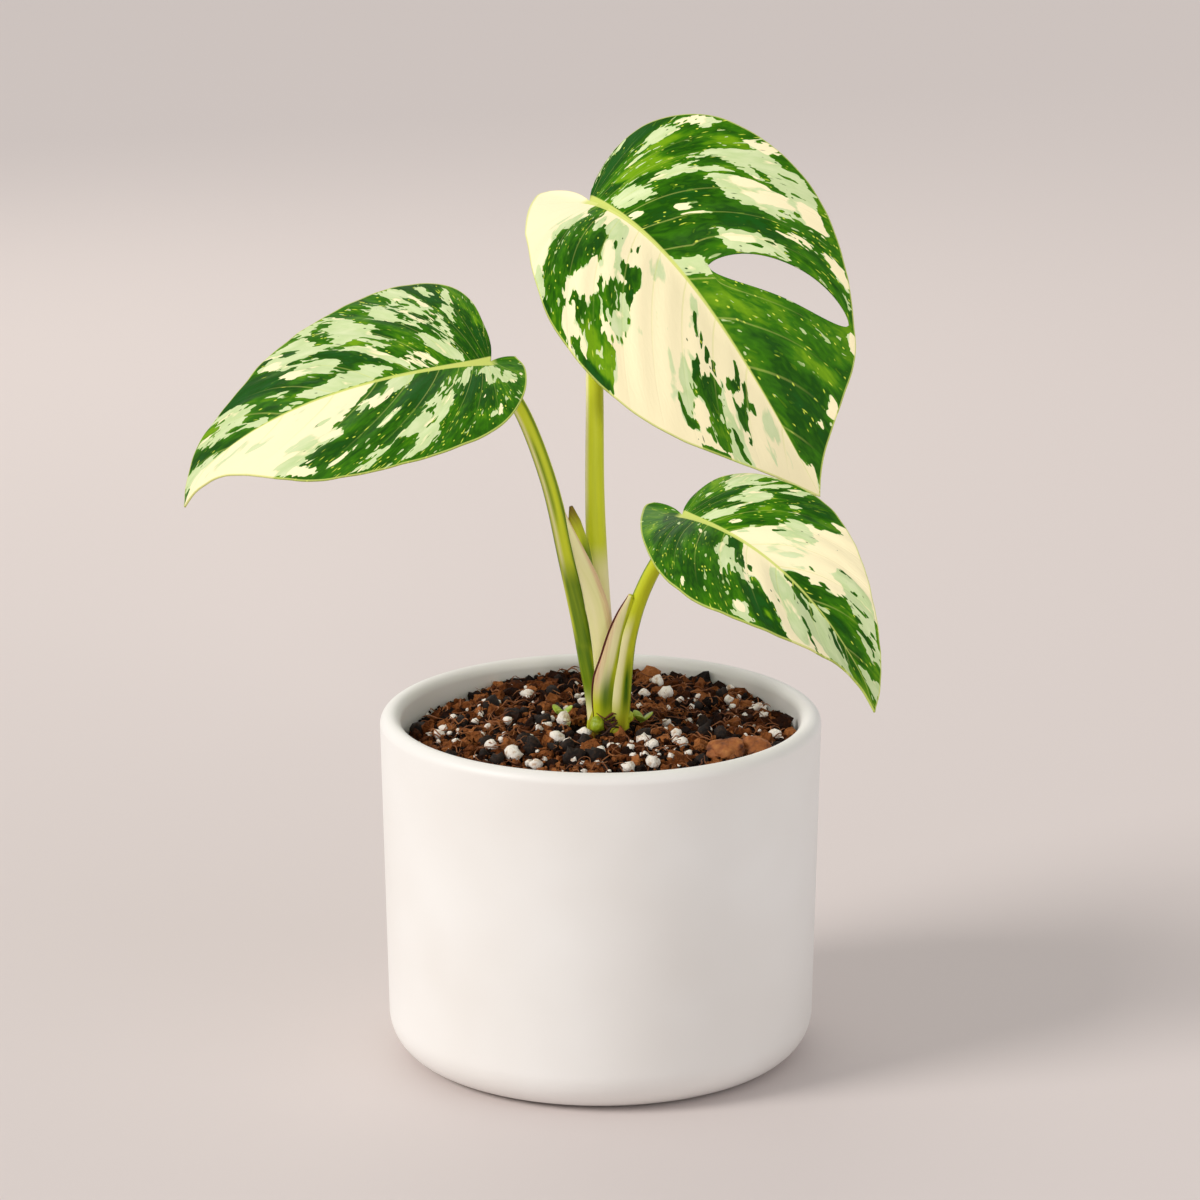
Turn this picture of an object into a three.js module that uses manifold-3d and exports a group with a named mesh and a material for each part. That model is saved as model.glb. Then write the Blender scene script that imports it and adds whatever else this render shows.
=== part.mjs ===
// A young variegated monstera with three leaves, growing in a plain white ceramic pot.
// Millimetres, +Z up. The origin is the middle of the pot's flat underside, and the front is seen along +Y.

import * as THREE from 'three';
import { mergeVertices } from 'three/addons/utils/BufferGeometryUtils.js';
import Module from 'manifold-3d';

const wasm = await Module();
wasm.setup();

const GAP = 0.3; // clear space kept between pieces that touch
const SEED = 27; // start of the random draws for the soil crumbs

// Pot: a slightly tapered cup with a rounded foot, a round lip and a flat floor.
const POT = {
  rimRadius: 60,
  footRadius: 58.2,
  height: 96,
  wall: 5.7,
  floor: 7,
  footRound: 12,
  innerRound: 8,
  turns: 48,
  footSteps: 6,
  lipSteps: 8,
  innerSteps: 4,
};

// Potting mix: a low mound, heaped towards the back, with lumps of bark, charcoal and perlite standing
// out of it.
const SOIL = {
  edgeHeight: 87.5,
  crownHeight: 91,
  backRise: 4.5,
  rightRise: 1,
  turns: 36,
  rings: [0.85, 0.65, 0.45, 0.25],
  lumps: 96,
  lumpRadius: [2, 4],
  lumpSquash: 0.72,
  lumpStretch: [0.8, 1.3],
  lumpLift: 0.2,
  lumpSpacing: 0.6,
  innerLimit: 10.5,
  chip: { at: [35.5, -23], radii: [5.2, 3.4, 2.2], turn: 12 },
};

// Stem: the short knobbly base that the three petioles grow out of.
const STEM = {
  at: [2, 0.5],
  bottom: 64,
  top: 100,
  radius: 5.9,
  topRadius: 5,
  sides: 20,
  footRound: 1,
  crownDrop: 3,
  ringHeights: [70, 78, 86, 92],
  ringSwell: 0.5,
  ringDrop: 2,
  knobs: [
    { at: [-0.8, -4.4, 93.6], radius: 2 },
    { at: [3.8, -5.3, 92], radius: 2.1 },
    { at: [6, -3.6, 96], radius: 2.4 },
    { at: [6.4, -1, 99], radius: 2 },
  ],
};

// Stalks. A route is the centre line from the stem upwards. Widths are half sizes across and through the
// stalk, at even steps along the route.
const PETIOLES = {
  petiole_left: {
    route: [
      [-0.6, 0, 91], [-1.5, 0, 100.5], [-3, 0, 108.5], [-5.5, 0.5, 121], [-9, 1, 137.5],
      [-14, 1.5, 160], [-21, 1.5, 179], [-25.8, 0.4, 187], [-29.2, -1.3, 191.6],
    ],
    across: [2.7, 2.8, 2.5, 2.3, 2.2, 2.15, 2.1, 2, 1.8],
    through: [2.6, 2.6, 2.4, 2.3, 2.2, 2.1, 2, 1.9, 1.7],
    sheath: {
      route: [
        [1.5, -2.4, 93], [0.6, -2.4, 108], [0.2, -1.7, 119], [-2, -0.6, 130.5], [-6, 0, 143],
        [-10.4, 0.9, 154],
      ],
      across: [3.6, 3.6, 3.2, 2.9, 2.2, 0.9],
      through: [1.4, 1.3, 1.1, 0.9, 0.9, 0.7],
    },
  },
  petiole_right: {
    route: [
      [4.6, -2.6, 92], [5, -4.5, 101], [5.8, -6.5, 109.6], [7.1, -9.5, 118.9], [9.6, -14, 129.3],
      [12.8, -19, 138.7], [17, -24.8, 148], [21.1, -30.2, 156.8],
    ],
    across: [3.2, 3.2, 2.9, 2.5, 2.2, 2.1, 2, 1.7],
    through: [3, 3, 2.6, 2.3, 2.1, 2, 1.9, 1.7],
    sheath: {
      route: [
        [1.6, -4.4, 94], [1.5, -5.8, 101.5], [2.1, -7, 107.5], [3.5, -8.8, 114], [5, -11.2, 121.4],
        [6.5, -14.2, 127.8], [8, -17.2, 133.4],
      ],
      across: [3.3, 3.8, 4, 3.5, 2.9, 2, 0.7],
      through: [1.5, 1.4, 1.3, 1.2, 1, 0.9, 0.6],
    },
  },
  petiole_centre: {
    route: [
      [1.8, 3, 92], [1.4, 3.4, 101], [0.8, 4, 111], [-0.3, 5, 126], [-1.2, 6.5, 142.5], [-1.6, 8.2, 157],
      [-1.6, 11.2, 180], [-1.8, 13.8, 200], [-2.1, 15.9, 218], [-2.4, 15.9, 232.3],
    ],
    across: [3.2, 3.2, 3.1, 2.95, 2.8, 2.6, 2.4, 2.25, 2.1, 1.8],
    through: [3, 3, 2.9, 2.8, 2.7, 2.5, 2.3, 2.15, 2, 1.7],
  },
};

const STALK_SIDES = 12;
const PETIOLE_STEPS = 14;
const SHEATH_STEPS = 8;
const END_INSET = 0.35; // how far the rounded end of a stalk reaches, in steps
const END_SHARE = 0.75; // and how wide it is there

// Bud: the pointed scale of the next leaf, between the left and centre petioles.
const BUD = {
  route: [
    [0.4, 1.2, 112], [-1, 1.4, 122], [-3, 1.7, 131], [-5.4, 2, 142], [-7.1, 1.8, 149], [-8, 1.4, 153.2],
  ],
  across: [1.3, 1.7, 2, 2.3, 1.7, 0.5],
  through: [1.1, 1.3, 1.4, 1.5, 1.2, 0.5],
};

// Blades. Each one is drawn flat first, with s along the midrib from the petiole and w to either side, then
// bent. heading, rise and roll are the degrees that aim it, bend is how far the midrib turns down on its way
// to the tip and early says how soon, fold is the V of the two halves, droop curls their edges back down, and
// lobeBend is how much the bend goes on behind the petiole. An edge starts at the end of the lobe and runs to
// the tip.
const BLADES = {
  leaf_left: {
    base: [-29.5, -2, 194],
    heading: 188,
    rise: -4,
    roll: 27,
    length: 98.5,
    bend: 66,
    early: -1.2,
    fold: 10,
    droop: 0.005,
    sway: -6,
    lobeBend: 0.42,
    hook: 4,
    leftEdge: [
      [-7, -1], [-8.5, 3], [-8.5, 8.5], [-6.5, 16.5], [-1.5, 25], [4, 29.5], [15, 33.5], [28, 35], [41, 34],
      [52, 30.5], [62.5, 23], [69, 17.5], [75, 12.5], [82, 8], [92, 4.5], [98.5, 4],
    ],
    rightEdge: [
      [0.5, 9.5], [0, 15], [2, 25], [6.5, 32], [14.5, 36], [26, 36], [38, 32.5], [50, 28], [62.5, 22],
      [70, 17], [77, 13.5], [85.5, 10.5], [91, 7.5], [95, 4], [98.5, 0], [98.5, -4],
    ],
  },
  leaf_top: {
    base: [-3, 15, 234.2],
    heading: -44,
    rise: -1,
    roll: -27,
    length: 106,
    bend: 71,
    early: 4.5,
    fold: 21,
    droop: 0.005,
    sway: -6,
    lobeBend: 0.22,
    hook: 0,
    leftEdge: [
      [-2.5, 9], [-3, 16], [-0.5, 25.5], [5, 33.5], [12, 39.5], [21.5, 43], [33, 45], [45.5, 44],
      [53, 41.6], [62, 38], [70, 33.5], [77, 29.5], [81, 26], [87.5, 17.5], [90.5, 13.5], [98.5, 5],
      [106, 0],
    ],
    rightEdge: [
      [-15.5, -0.5], [-17.2, 1.5], [-14.5, 6.5], [-9.3, 13.5], [-2.5, 21.5], [3.3, 28], [9.3, 35],
      [15.5, 40.5], [21, 44], [30, 46.3], [41.5, 46], [54.5, 42], [66, 35.5], [76.5, 27], [87.5, 17],
      [96, 9], [106, 0],
    ],
    opening: { along: 0.69, from: 0.15, to: 0.965, halfWidth: 4.5, reach: 0.14 },
  },
  leaf_right: {
    base: [21.5, -31, 159.2],
    heading: -35.5,
    rise: -3.5,
    roll: -15,
    length: 78,
    bend: 62.5,
    early: 0.5,
    fold: 13.5,
    droop: 0.0068,
    sway: -8.7,
    lobeBend: 0.38,
    hook: -1.2,
    leftEdge: [
      [-1.3, 8], [-1.6, 11.5], [0, 18.5], [5.4, 24.3], [12.6, 27.2], [24, 28.9], [32, 27], [42, 22.4],
      [53, 16], [65, 9], [74, 3], [78, -1.2],
    ],
    rightEdge: [
      [-10.5, -2.2], [-12, -0.5], [-9.2, 5.6], [-4.8, 12.3], [0, 18], [5.4, 23], [10.2, 26.6], [15.2, 28.8],
      [21.3, 30], [28, 29.7], [38.6, 25.1], [48.3, 18.7], [57.8, 10.5], [63.2, 6], [70, 2.6], [78, 1.2],
    ],
  },
};
const BLADE_THICKNESS = 0.8;
const CREASE_ROUND = 1.5; // rounds the bottom of the V
const MIDRIB_DEPTH = 1.3; // how far the midrib stands out under the blade at the petiole
const MIDRIB_WIDTH = 2.2;
const MIDRIB_BEHIND = 2; // how far it runs on behind the petiole
const MIDRIB_STEPS = 120;
const VEIN_POWER = 3.2; // how the side veins crowd towards the petiole
const VEIN_BOW = 0.1; // how far the side veins arch, as a share of their length
const BOW_GROWS = [0.1, 0.5]; // where along the blade the arch sets in
const BOW_ENDS = [0.8, 1];
const HOOK_FROM = 0.88; // where the tip starts to hook aside
const OPENING_POWERS = [2.6, 0.6]; // how blunt the ends of the opening are
const SHARED_FOOT = 0.6; // veins that start closer than this to the petiole start at it
const PROBE = 0.05; // step for measuring the slope of a blade
const BLADE_COLUMNS = 24;
const PLAIN_ROWS = [0, 0.05, 0.16, 0.34, 0.56, 0.78, 1];
const OPENED_ROWS = [0, 0.06, 0.15, 0.18, 0.26, 0.38, 0.55, 0.72, 0.85, 0.93, 0.965, 1];

// Sprouts: two tiny weeds on the soil beside the stem.
const SPROUTS = {
  sprout_left: { at: [-10.6, 7], turn: 20 },
  sprout_right: { at: [11.2, 1], turn: 130 },
};
const SPROUT = {
  stalkRadius: 0.6,
  stalkTaper: 0.7,
  stalkSides: 6,
  stalkDepth: 5,
  stalkRise: 1.7,
  leafRadii: [1.9, 1.1, 0.5],
  leafReach: 0.8,
  leafTilt: 26,
  leaves: 3,
  room: 3.6,
};

const HOLE_SIDES = 20;

const FINISHES = {
  glaze: { color: 0xf3f1ee, roughness: 0.55 },
  soil: { color: 0x4a2d1c, roughness: 0.95 },
  stem: { color: 0x8d9a3b, roughness: 0.7 },
  stalk: { color: 0xa9b94a, roughness: 0.5 },
  bud: { color: 0xc2c95a, roughness: 0.5 },
  leaf: { color: 0x4f8f22, roughness: 0.35 },
  sprout: { color: 0x3c8a1c, roughness: 0.5 },
};

function radians(degrees) {
  return THREE.MathUtils.degToRad(degrees);
}

// Random numbers from 0 to 1 that come out the same each time.
function randomFrom(seed) {
  let state = seed;
  return () => {
    state = (state + 0x6d2b79f5) | 0;
    let mixed = Math.imul(state ^ (state >>> 15), 1 | state);
    mixed = (mixed + Math.imul(mixed ^ (mixed >>> 7), 61 | mixed)) ^ mixed;
    return ((mixed ^ (mixed >>> 14)) >>> 0) / 4294967296;
  };
}

// The same shape as an indexed geometry with positions only, its faces turned outwards.
function welded(geometry) {
  const bare = geometry.clone();
  bare.deleteAttribute('normal');
  bare.deleteAttribute('uv');
  const merged = mergeVertices(bare, 1e-4);
  const place = merged.getAttribute('position');
  const kept = [];
  const corners = [new THREE.Vector3(), new THREE.Vector3(), new THREE.Vector3()];
  let volume = 0;
  for (let i = 0; i < merged.index.count; i += 3) {
    const face = [0, 1, 2].map((k) => merged.index.getX(i + k));
    if (new Set(face).size < 3) continue;
    face.forEach((vertex, k) => corners[k].fromBufferAttribute(place, vertex));
    volume += corners[0].dot(corners[1].clone().cross(corners[2]));
    kept.push(face);
  }
  merged.setIndex(kept.flatMap((face) => (volume < 0 ? face.reverse() : face)));
  return merged;
}

function solidOf(geometry) {
  const closed = welded(geometry);
  return new wasm.Manifold(
    new wasm.Mesh({
      numProp: 3,
      vertProperties: new Float32Array(closed.getAttribute('position').array),
      triVerts: new Uint32Array(closed.index.array),
    }),
  );
}

// The largest body of a solid, as a geometry.
function geometryOf(solid) {
  const bodies = solid.decompose().sort((a, b) => b.volume() - a.volume());
  const mesh = bodies[0].getMesh();
  const geometry = new THREE.BufferGeometry();
  geometry.setAttribute('position', new THREE.BufferAttribute(new Float32Array(mesh.vertProperties), 3));
  geometry.setIndex(Array.from(mesh.triVerts));
  return geometry;
}

// Points of a round corner in a turned profile.
function corner(centreX, centreY, radius, fromDegrees, toDegrees, steps) {
  return Array.from({ length: steps + 1 }, (_, k) => {
    const angle = radians(THREE.MathUtils.lerp(fromDegrees, toDegrees, k / steps));
    return new THREE.Vector2(centreX + radius * Math.cos(angle), centreY + radius * Math.sin(angle));
  });
}

function turned(profile, turns) {
  return new THREE.LatheGeometry(profile, turns).rotateX(Math.PI / 2);
}

const lip = POT.wall / 2;
// The inside of the pot: its radius at the top of the wall, and at the floor.
const innerTop = POT.rimRadius - POT.wall;
const innerFoot = POT.footRadius - POT.wall;

function potGeometry() {
  const { footRadius, footRound, rimRadius, height, floor, innerRound } = POT;
  return turned(
    [
      new THREE.Vector2(0, 0),
      ...corner(footRadius - footRound, footRound, footRound, -90, 0, POT.footSteps),
      ...corner(rimRadius - lip, height - lip, lip, 0, 180, POT.lipSteps),
      ...corner(innerFoot - innerRound, floor + innerRound, innerRound, 0, -90, POT.innerSteps),
      new THREE.Vector2(0, floor),
    ],
    POT.turns,
  );
}

// The pot's inner radius at a height.
function innerRadius(height) {
  const share = (height - POT.floor) / (POT.height - POT.floor);
  return THREE.MathUtils.lerp(innerFoot, innerTop, share);
}

function soilHeight(x, y) {
  const share = Math.min(Math.hypot(x, y) / innerTop, 1);
  const mound = THREE.MathUtils.lerp(SOIL.crownHeight, SOIL.edgeHeight, share * share);
  return mound + (SOIL.rightRise * share * x) / innerTop + SOIL.backRise * (Math.max(y, 0) / innerTop) ** 2;
}

// A lump of mix: a squashed, turned twenty-sided stone.
function lump(radii, turns, at) {
  const stone = new THREE.IcosahedronGeometry(1, 0);
  stone.rotateX(turns[0]).rotateY(turns[1]);
  stone.scale(...radii).rotateZ(turns[2]);
  return solidOf(stone.translate(...at));
}

function soilLumps() {
  const random = randomFrom(SEED);
  const placed = Object.values(SPROUTS).map(({ at }) => [...at, SPROUT.room]);
  const solids = [];
  const [small, large] = SOIL.lumpRadius;
  while (solids.length < SOIL.lumps) {
    const size = THREE.MathUtils.lerp(small, large, random() ** 2);
    const outer = innerRadius(SOIL.edgeHeight) - size - 2 * GAP;
    const reach = THREE.MathUtils.lerp(SOIL.innerLimit ** 2, outer ** 2, random()) ** 0.5;
    const angle = 2 * Math.PI * random();
    const spot = [reach * Math.cos(angle), reach * Math.sin(angle), size];
    const height = soilHeight(spot[0], spot[1]) + SOIL.lumpLift * size;
    const turns = [random(), random(), random()].map((share) => share * Math.PI);
    const stretch = THREE.MathUtils.lerp(...SOIL.lumpStretch, random());
    const crowded = placed.some(
      ([x, y, room]) => Math.hypot(x - spot[0], y - spot[1]) < SOIL.lumpSpacing * room + size,
    );
    if (crowded) continue;
    placed.push(spot);
    const radii = [size * stretch, size, size * SOIL.lumpSquash];
    solids.push(lump(radii, turns, [spot[0], spot[1], height]));
  }
  const { at, radii, turn } = SOIL.chip;
  solids.push(lump(radii, [0, 0, radians(turn)], [...at, soilHeight(...at)]));
  return solids;
}

function soilGeometry(holes) {
  const bottom = POT.floor + GAP;
  const round = POT.innerRound;
  const edge = innerRadius(SOIL.edgeHeight) - GAP;
  const body = turned(
    [
      new THREE.Vector2(0, bottom),
      new THREE.Vector2(innerFoot - round - GAP, bottom),
      new THREE.Vector2(innerFoot - GAP, bottom + round),
      new THREE.Vector2(edge, SOIL.edgeHeight),
      ...SOIL.rings.map((share) => new THREE.Vector2(edge * share, SOIL.edgeHeight)),
      new THREE.Vector2(0, SOIL.edgeHeight),
    ],
    SOIL.turns,
  );
  const place = body.getAttribute('position');
  for (let i = 0; i < place.count; i += 1) {
    if (place.getZ(i) > SOIL.edgeHeight - GAP) place.setZ(i, soilHeight(place.getX(i), place.getY(i)));
  }
  let soil = solidOf(body);
  for (const stone of soilLumps()) soil = soil.add(stone);
  for (const hole of holes) soil = soil.subtract(hole);
  return geometryOf(soil);
}

function plainHole(x, y, radius, bottom) {
  const depth = POT.height - bottom;
  const drill = new THREE.CylinderGeometry(radius, radius, depth, HOLE_SIDES).rotateX(Math.PI / 2);
  return solidOf(drill.translate(x, y, bottom + depth / 2));
}

function valueAlong(values, share) {
  const place = share * (values.length - 1);
  const step = Math.min(Math.floor(place), values.length - 2);
  return THREE.MathUtils.lerp(values[step], values[step + 1], place - step);
}

// A stalk: a turned rod bent along its route, with an oval section whose wide side faces the front.
function stalk({ route, across, through }, steps, grow = 0) {
  const line = new THREE.CatmullRomCurve3(route.map((point) => new THREE.Vector3(...point)));
  const inset = END_INSET / steps;
  const profile = [new THREE.Vector2(0, 0), new THREE.Vector2(END_SHARE, inset)];
  for (let k = 1; k < steps; k += 1) profile.push(new THREE.Vector2(1, k / steps));
  profile.push(new THREE.Vector2(END_SHARE, 1 - inset), new THREE.Vector2(0, 1));
  const rod = new THREE.LatheGeometry(profile, STALK_SIDES);
  const place = rod.getAttribute('position');
  for (let i = 0; i < place.count; i += 1) {
    const share = place.getY(i);
    const ahead = line.getTangentAt(share);
    const wide = new THREE.Vector3(1, 0, 0).addScaledVector(ahead, -ahead.x).normalize();
    const deep = new THREE.Vector3().crossVectors(ahead, wide);
    const point = line.getPointAt(share);
    point.addScaledVector(wide, place.getX(i) * (valueAlong(across, share) + grow));
    point.addScaledVector(deep, place.getZ(i) * (valueAlong(through, share) + grow));
    point.addScaledVector(ahead, (2 * share - 1) * grow);
    place.setXYZ(i, point.x, point.y, point.z);
  }
  return solidOf(rod);
}

function petiole(spec, grow = 0) {
  const rod = stalk(spec, PETIOLE_STEPS, grow);
  return spec.sheath ? rod.add(stalk(spec.sheath, SHEATH_STEPS, grow)) : rod;
}

function stemKnobs(grow = 0) {
  return STEM.knobs.map(({ at, radius }) => {
    return solidOf(new THREE.IcosahedronGeometry(radius + grow, 1).translate(...at));
  });
}

function stemSolid() {
  const height = STEM.top - STEM.bottom;
  const foot = STEM.radius - STEM.footRound;
  const profile = [new THREE.Vector2(0, STEM.bottom), new THREE.Vector2(foot, STEM.bottom)];
  for (const ring of STEM.ringHeights) {
    const share = (ring - STEM.bottom) / height;
    const radius = THREE.MathUtils.lerp(STEM.radius, STEM.topRadius, share);
    profile.push(new THREE.Vector2(radius, ring - STEM.ringDrop));
    profile.push(new THREE.Vector2(radius + STEM.ringSwell, ring));
  }
  profile.push(new THREE.Vector2(STEM.topRadius, STEM.top - STEM.crownDrop));
  profile.push(new THREE.Vector2(0, STEM.top));
  let stem = solidOf(turned(profile, STEM.sides).translate(STEM.at[0], STEM.at[1], 0));
  for (const knob of stemKnobs()) stem = stem.add(knob);
  return stem;
}

// Where a point of the flat blade, s along and w to the left, lies once the blade is aimed and bent.
function bladeSurface(spec) {
  const aim = radians(spec.heading);
  const rise = radians(spec.rise);
  const roll = radians(spec.roll);
  const forward = Math.cos(rise);
  const ahead = new THREE.Vector3(forward * Math.cos(aim), forward * Math.sin(aim), Math.sin(rise));
  const level = new THREE.Vector3(0, 0, 1).cross(ahead).normalize();
  const upright = new THREE.Vector3().crossVectors(ahead, level);
  const face = upright.multiplyScalar(Math.cos(roll)).addScaledVector(level, Math.sin(roll));
  const left = new THREE.Vector3().crossVectors(face, ahead);
  const bend = radians(spec.bend);
  const sway = radians(spec.sway);
  const whole = 1 - Math.exp(-spec.early);

  function frame(s) {
    const share = s / spec.length;
    const front = (1 - Math.exp(-spec.early * Math.max(share, 0))) / whole;
    const back = (spec.lobeBend * Math.min(share, 0) * spec.early) / whole;
    const down = bend * (front + back);
    const turn = sway * share;
    const along = ahead.clone().multiplyScalar(Math.cos(down)).addScaledVector(face, -Math.sin(down));
    const up = ahead.clone().multiplyScalar(Math.sin(down)).addScaledVector(face, Math.cos(down));
    const tangent = along.clone().multiplyScalar(Math.cos(turn)).addScaledVector(left, Math.sin(turn));
    const side = left.clone().multiplyScalar(Math.cos(turn)).addScaledVector(along, -Math.sin(turn));
    return { tangent, side, up };
  }

  const stride = spec.length / MIDRIB_STEPS;
  const line = [new THREE.Vector3(...spec.base)];
  for (let k = 0; k < MIDRIB_STEPS; k += 1) {
    line.push(line[k].clone().addScaledVector(frame((k + 0.5) * stride).tangent, stride));
  }
  const start = frame(0).tangent;

  function midrib(s) {
    if (s <= 0) return line[0].clone().addScaledVector(start, s);
    const place = Math.min(s / stride, MIDRIB_STEPS);
    const step = Math.min(Math.floor(place), MIDRIB_STEPS - 1);
    return line[step].clone().lerp(line[step + 1], place - step);
  }

  return (s, w) => {
    const { side, up } = frame(s);
    const out = Math.hypot(w, CREASE_ROUND) - CREASE_ROUND;
    const height = out * Math.tan(radians(spec.fold)) - spec.droop * out * out;
    return midrib(s).addScaledVector(side, w).addScaledVector(up, height);
  };
}

// One half of the flat blade: share t picks a side vein, from the lobe to the tip, and v runs out along it.
function halfPlan(spec, edge, hand) {
  const outline = new THREE.CatmullRomCurve3(edge.map(([s, w]) => new THREE.Vector3(s, w * hand, 0)));
  const { opening } = spec;
  return (t, v, beyond) => {
    const rim = outline.getPointAt(t);
    const run = spec.length * t ** VEIN_POWER;
    const foot = new THREE.Vector3(run < SHARED_FOOT ? 0 : run, 0, 0);
    foot.y = spec.hook * THREE.MathUtils.smoothstep(foot.x / spec.length, HOOK_FROM, 1);
    const vein = rim.clone().sub(foot);
    const outward = new THREE.Vector3(-vein.y, vein.x, 0).multiplyScalar(hand);
    const grown = THREE.MathUtils.smoothstep(t, ...BOW_GROWS);
    const bow = VEIN_BOW * grown * (1 - THREE.MathUtils.smoothstep(t, ...BOW_ENDS));
    const point = foot.addScaledVector(vein, v).addScaledVector(outward, 4 * bow * v * (1 - v));
    if (!opening || hand < 0) return point;
    const inside = (2 * (v - opening.from)) / (opening.to - opening.from) - 1;
    if (Math.abs(inside) >= 1) return point;
    const [flank, end] = OPENING_POWERS;
    const width = opening.halfWidth * (1 - Math.abs(inside) ** flank) ** end;
    const fade = Math.max(0, 1 - Math.abs(t - opening.along) / opening.reach);
    return point.addScaledVector(outward.normalize(), (beyond ? -1 : 1) * width * fade);
  };
}

// A closed blade: the upper face in triangles, the same triangles below it, and a wall round every edge.
function bladeGeometry(spec) {
  const surface = bladeSurface(spec);
  const found = new Map();
  const upper = [];
  const lower = [];

  function vertex(flat) {
    const key = `${flat.x.toFixed(3)} ${flat.y.toFixed(3)}`;
    if (found.has(key)) return found.get(key);
    const top = surface(flat.x, flat.y);
    const alongS = surface(flat.x + PROBE, flat.y).sub(top);
    const alongW = surface(flat.x, flat.y + PROBE).sub(top);
    const normal = alongS.cross(alongW).normalize();
    const fade = flat.x < -MIDRIB_BEHIND ? 0 : 1 - THREE.MathUtils.clamp(flat.x / spec.length, 0, 1);
    const rib = MIDRIB_DEPTH * fade * Math.exp(-((flat.y / MIDRIB_WIDTH) ** 2));
    found.set(key, upper.length);
    upper.push(top);
    lower.push(top.clone().addScaledVector(normal, -BLADE_THICKNESS - rib));
    return upper.length - 1;
  }

  const columns = Array.from({ length: BLADE_COLUMNS + 1 }, (_, k) => k / BLADE_COLUMNS);
  const { opening } = spec;
  const seam = opening ? Math.round(opening.along * BLADE_COLUMNS) : -1;
  if (opening) columns[seam] = opening.along;

  const faces = [];
  for (const hand of [1, -1]) {
    const plan = halfPlan(spec, hand > 0 ? spec.leftEdge : spec.rightEdge, hand);
    const rows = opening && hand > 0 ? OPENED_ROWS : PLAIN_ROWS;
    for (let i = 0; i < BLADE_COLUMNS; i += 1) {
      const beyond = i >= seam;
      for (let j = 0; j + 1 < rows.length; j += 1) {
        const ring = [[i, j], [i + 1, j], [i + 1, j + 1], [i, j + 1]];
        const quad = ring.map(([a, b]) => vertex(plan(columns[a], rows[b], beyond)));
        if (hand < 0) quad.reverse();
        faces.push([quad[0], quad[1], quad[2]], [quad[0], quad[2], quad[3]]);
      }
    }
  }

  const solidFaces = faces.filter((face) => new Set(face).size === 3);
  const directed = new Set(solidFaces.flatMap((face) => face.map((a, k) => `${a} ${face[(k + 1) % 3]}`)));
  const count = upper.length;
  const index = [];
  for (const face of solidFaces) {
    index.push(...face, ...face.map((a) => a + count).reverse());
    face.forEach((a, k) => {
      const b = face[(k + 1) % 3];
      if (directed.has(`${b} ${a}`)) return;
      index.push(a, a + count, b + count, a, b + count, b);
    });
  }
  const geometry = new THREE.BufferGeometry().setFromPoints([...upper, ...lower]);
  geometry.setIndex(index);
  return geometry;
}

function sproutSolid({ at, turn }) {
  const length = SPROUT.stalkDepth + SPROUT.stalkRise;
  const { stalkRadius, stalkTaper, stalkSides, leafRadii } = SPROUT;
  const stalkRod = new THREE.CylinderGeometry(stalkRadius * stalkTaper, stalkRadius, length, stalkSides);
  let sprout = solidOf(stalkRod.rotateX(Math.PI / 2).translate(0, 0, length / 2 - SPROUT.stalkDepth));
  for (let k = 0; k < SPROUT.leaves; k += 1) {
    const leaf = new THREE.IcosahedronGeometry(1, 1).scale(...leafRadii);
    leaf.translate(leafRadii[0] * SPROUT.leafReach, 0, 0).rotateY(-radians(SPROUT.leafTilt));
    leaf.rotateZ((2 * Math.PI * k) / SPROUT.leaves).translate(0, 0, SPROUT.stalkRise);
    sprout = sprout.add(solidOf(leaf));
  }
  return sprout.rotate(0, 0, turn).translate(at[0], at[1], soilHeight(...at));
}

const monstera = new THREE.Group();

function add(name, geometry, finish) {
  const mesh = new THREE.Mesh(geometry, new THREE.MeshStandardMaterial({ ...finish, metalness: 0 }));
  mesh.name = name;
  monstera.add(mesh);
}

add('pot', potGeometry(), FINISHES.glaze);

const stemHole = plainHole(...STEM.at, STEM.radius + STEM.ringSwell + 2 * GAP, STEM.bottom - GAP);
const holes = [stemHole, ...stemKnobs(GAP)];
for (const { at } of Object.values(SPROUTS)) {
  const foot = soilHeight(...at) - SPROUT.stalkDepth;
  holes.push(plainHole(at[0], at[1], SPROUT.stalkRadius + GAP, foot - GAP));
}
add('soil', soilGeometry(holes), FINISHES.soil);

// The front stalks keep their whole shape, and what stands behind them is cut clear of them.
let cutter = null;
for (const [name, spec] of Object.entries(PETIOLES)) {
  const whole = petiole(spec);
  add(name, geometryOf(cutter ? whole.subtract(cutter) : whole), FINISHES.stalk);
  const grown = petiole(spec, GAP);
  cutter = cutter ? cutter.add(grown) : grown;
}
add('bud', geometryOf(stalk(BUD, SHEATH_STEPS).subtract(cutter)), FINISHES.bud);
add('stem', geometryOf(stemSolid().subtract(cutter)), FINISHES.stem);

for (const [name, spec] of Object.entries(BLADES)) {
  add(name, bladeGeometry(spec), FINISHES.leaf);
}
for (const [name, spec] of Object.entries(SPROUTS)) {
  add(name, geometryOf(sproutSolid(spec)), FINISHES.sprout);
}

export default monstera;
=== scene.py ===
"""A young variegated monstera in a plain white ceramic pot.

Lengths are millimetres while a piece is being shaped. The panel's values and finished meshes are in metres.
"""
import math
from random import Random

import bmesh
import bpy
import numpy as np
from mathutils import Matrix, Vector, noise


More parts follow.
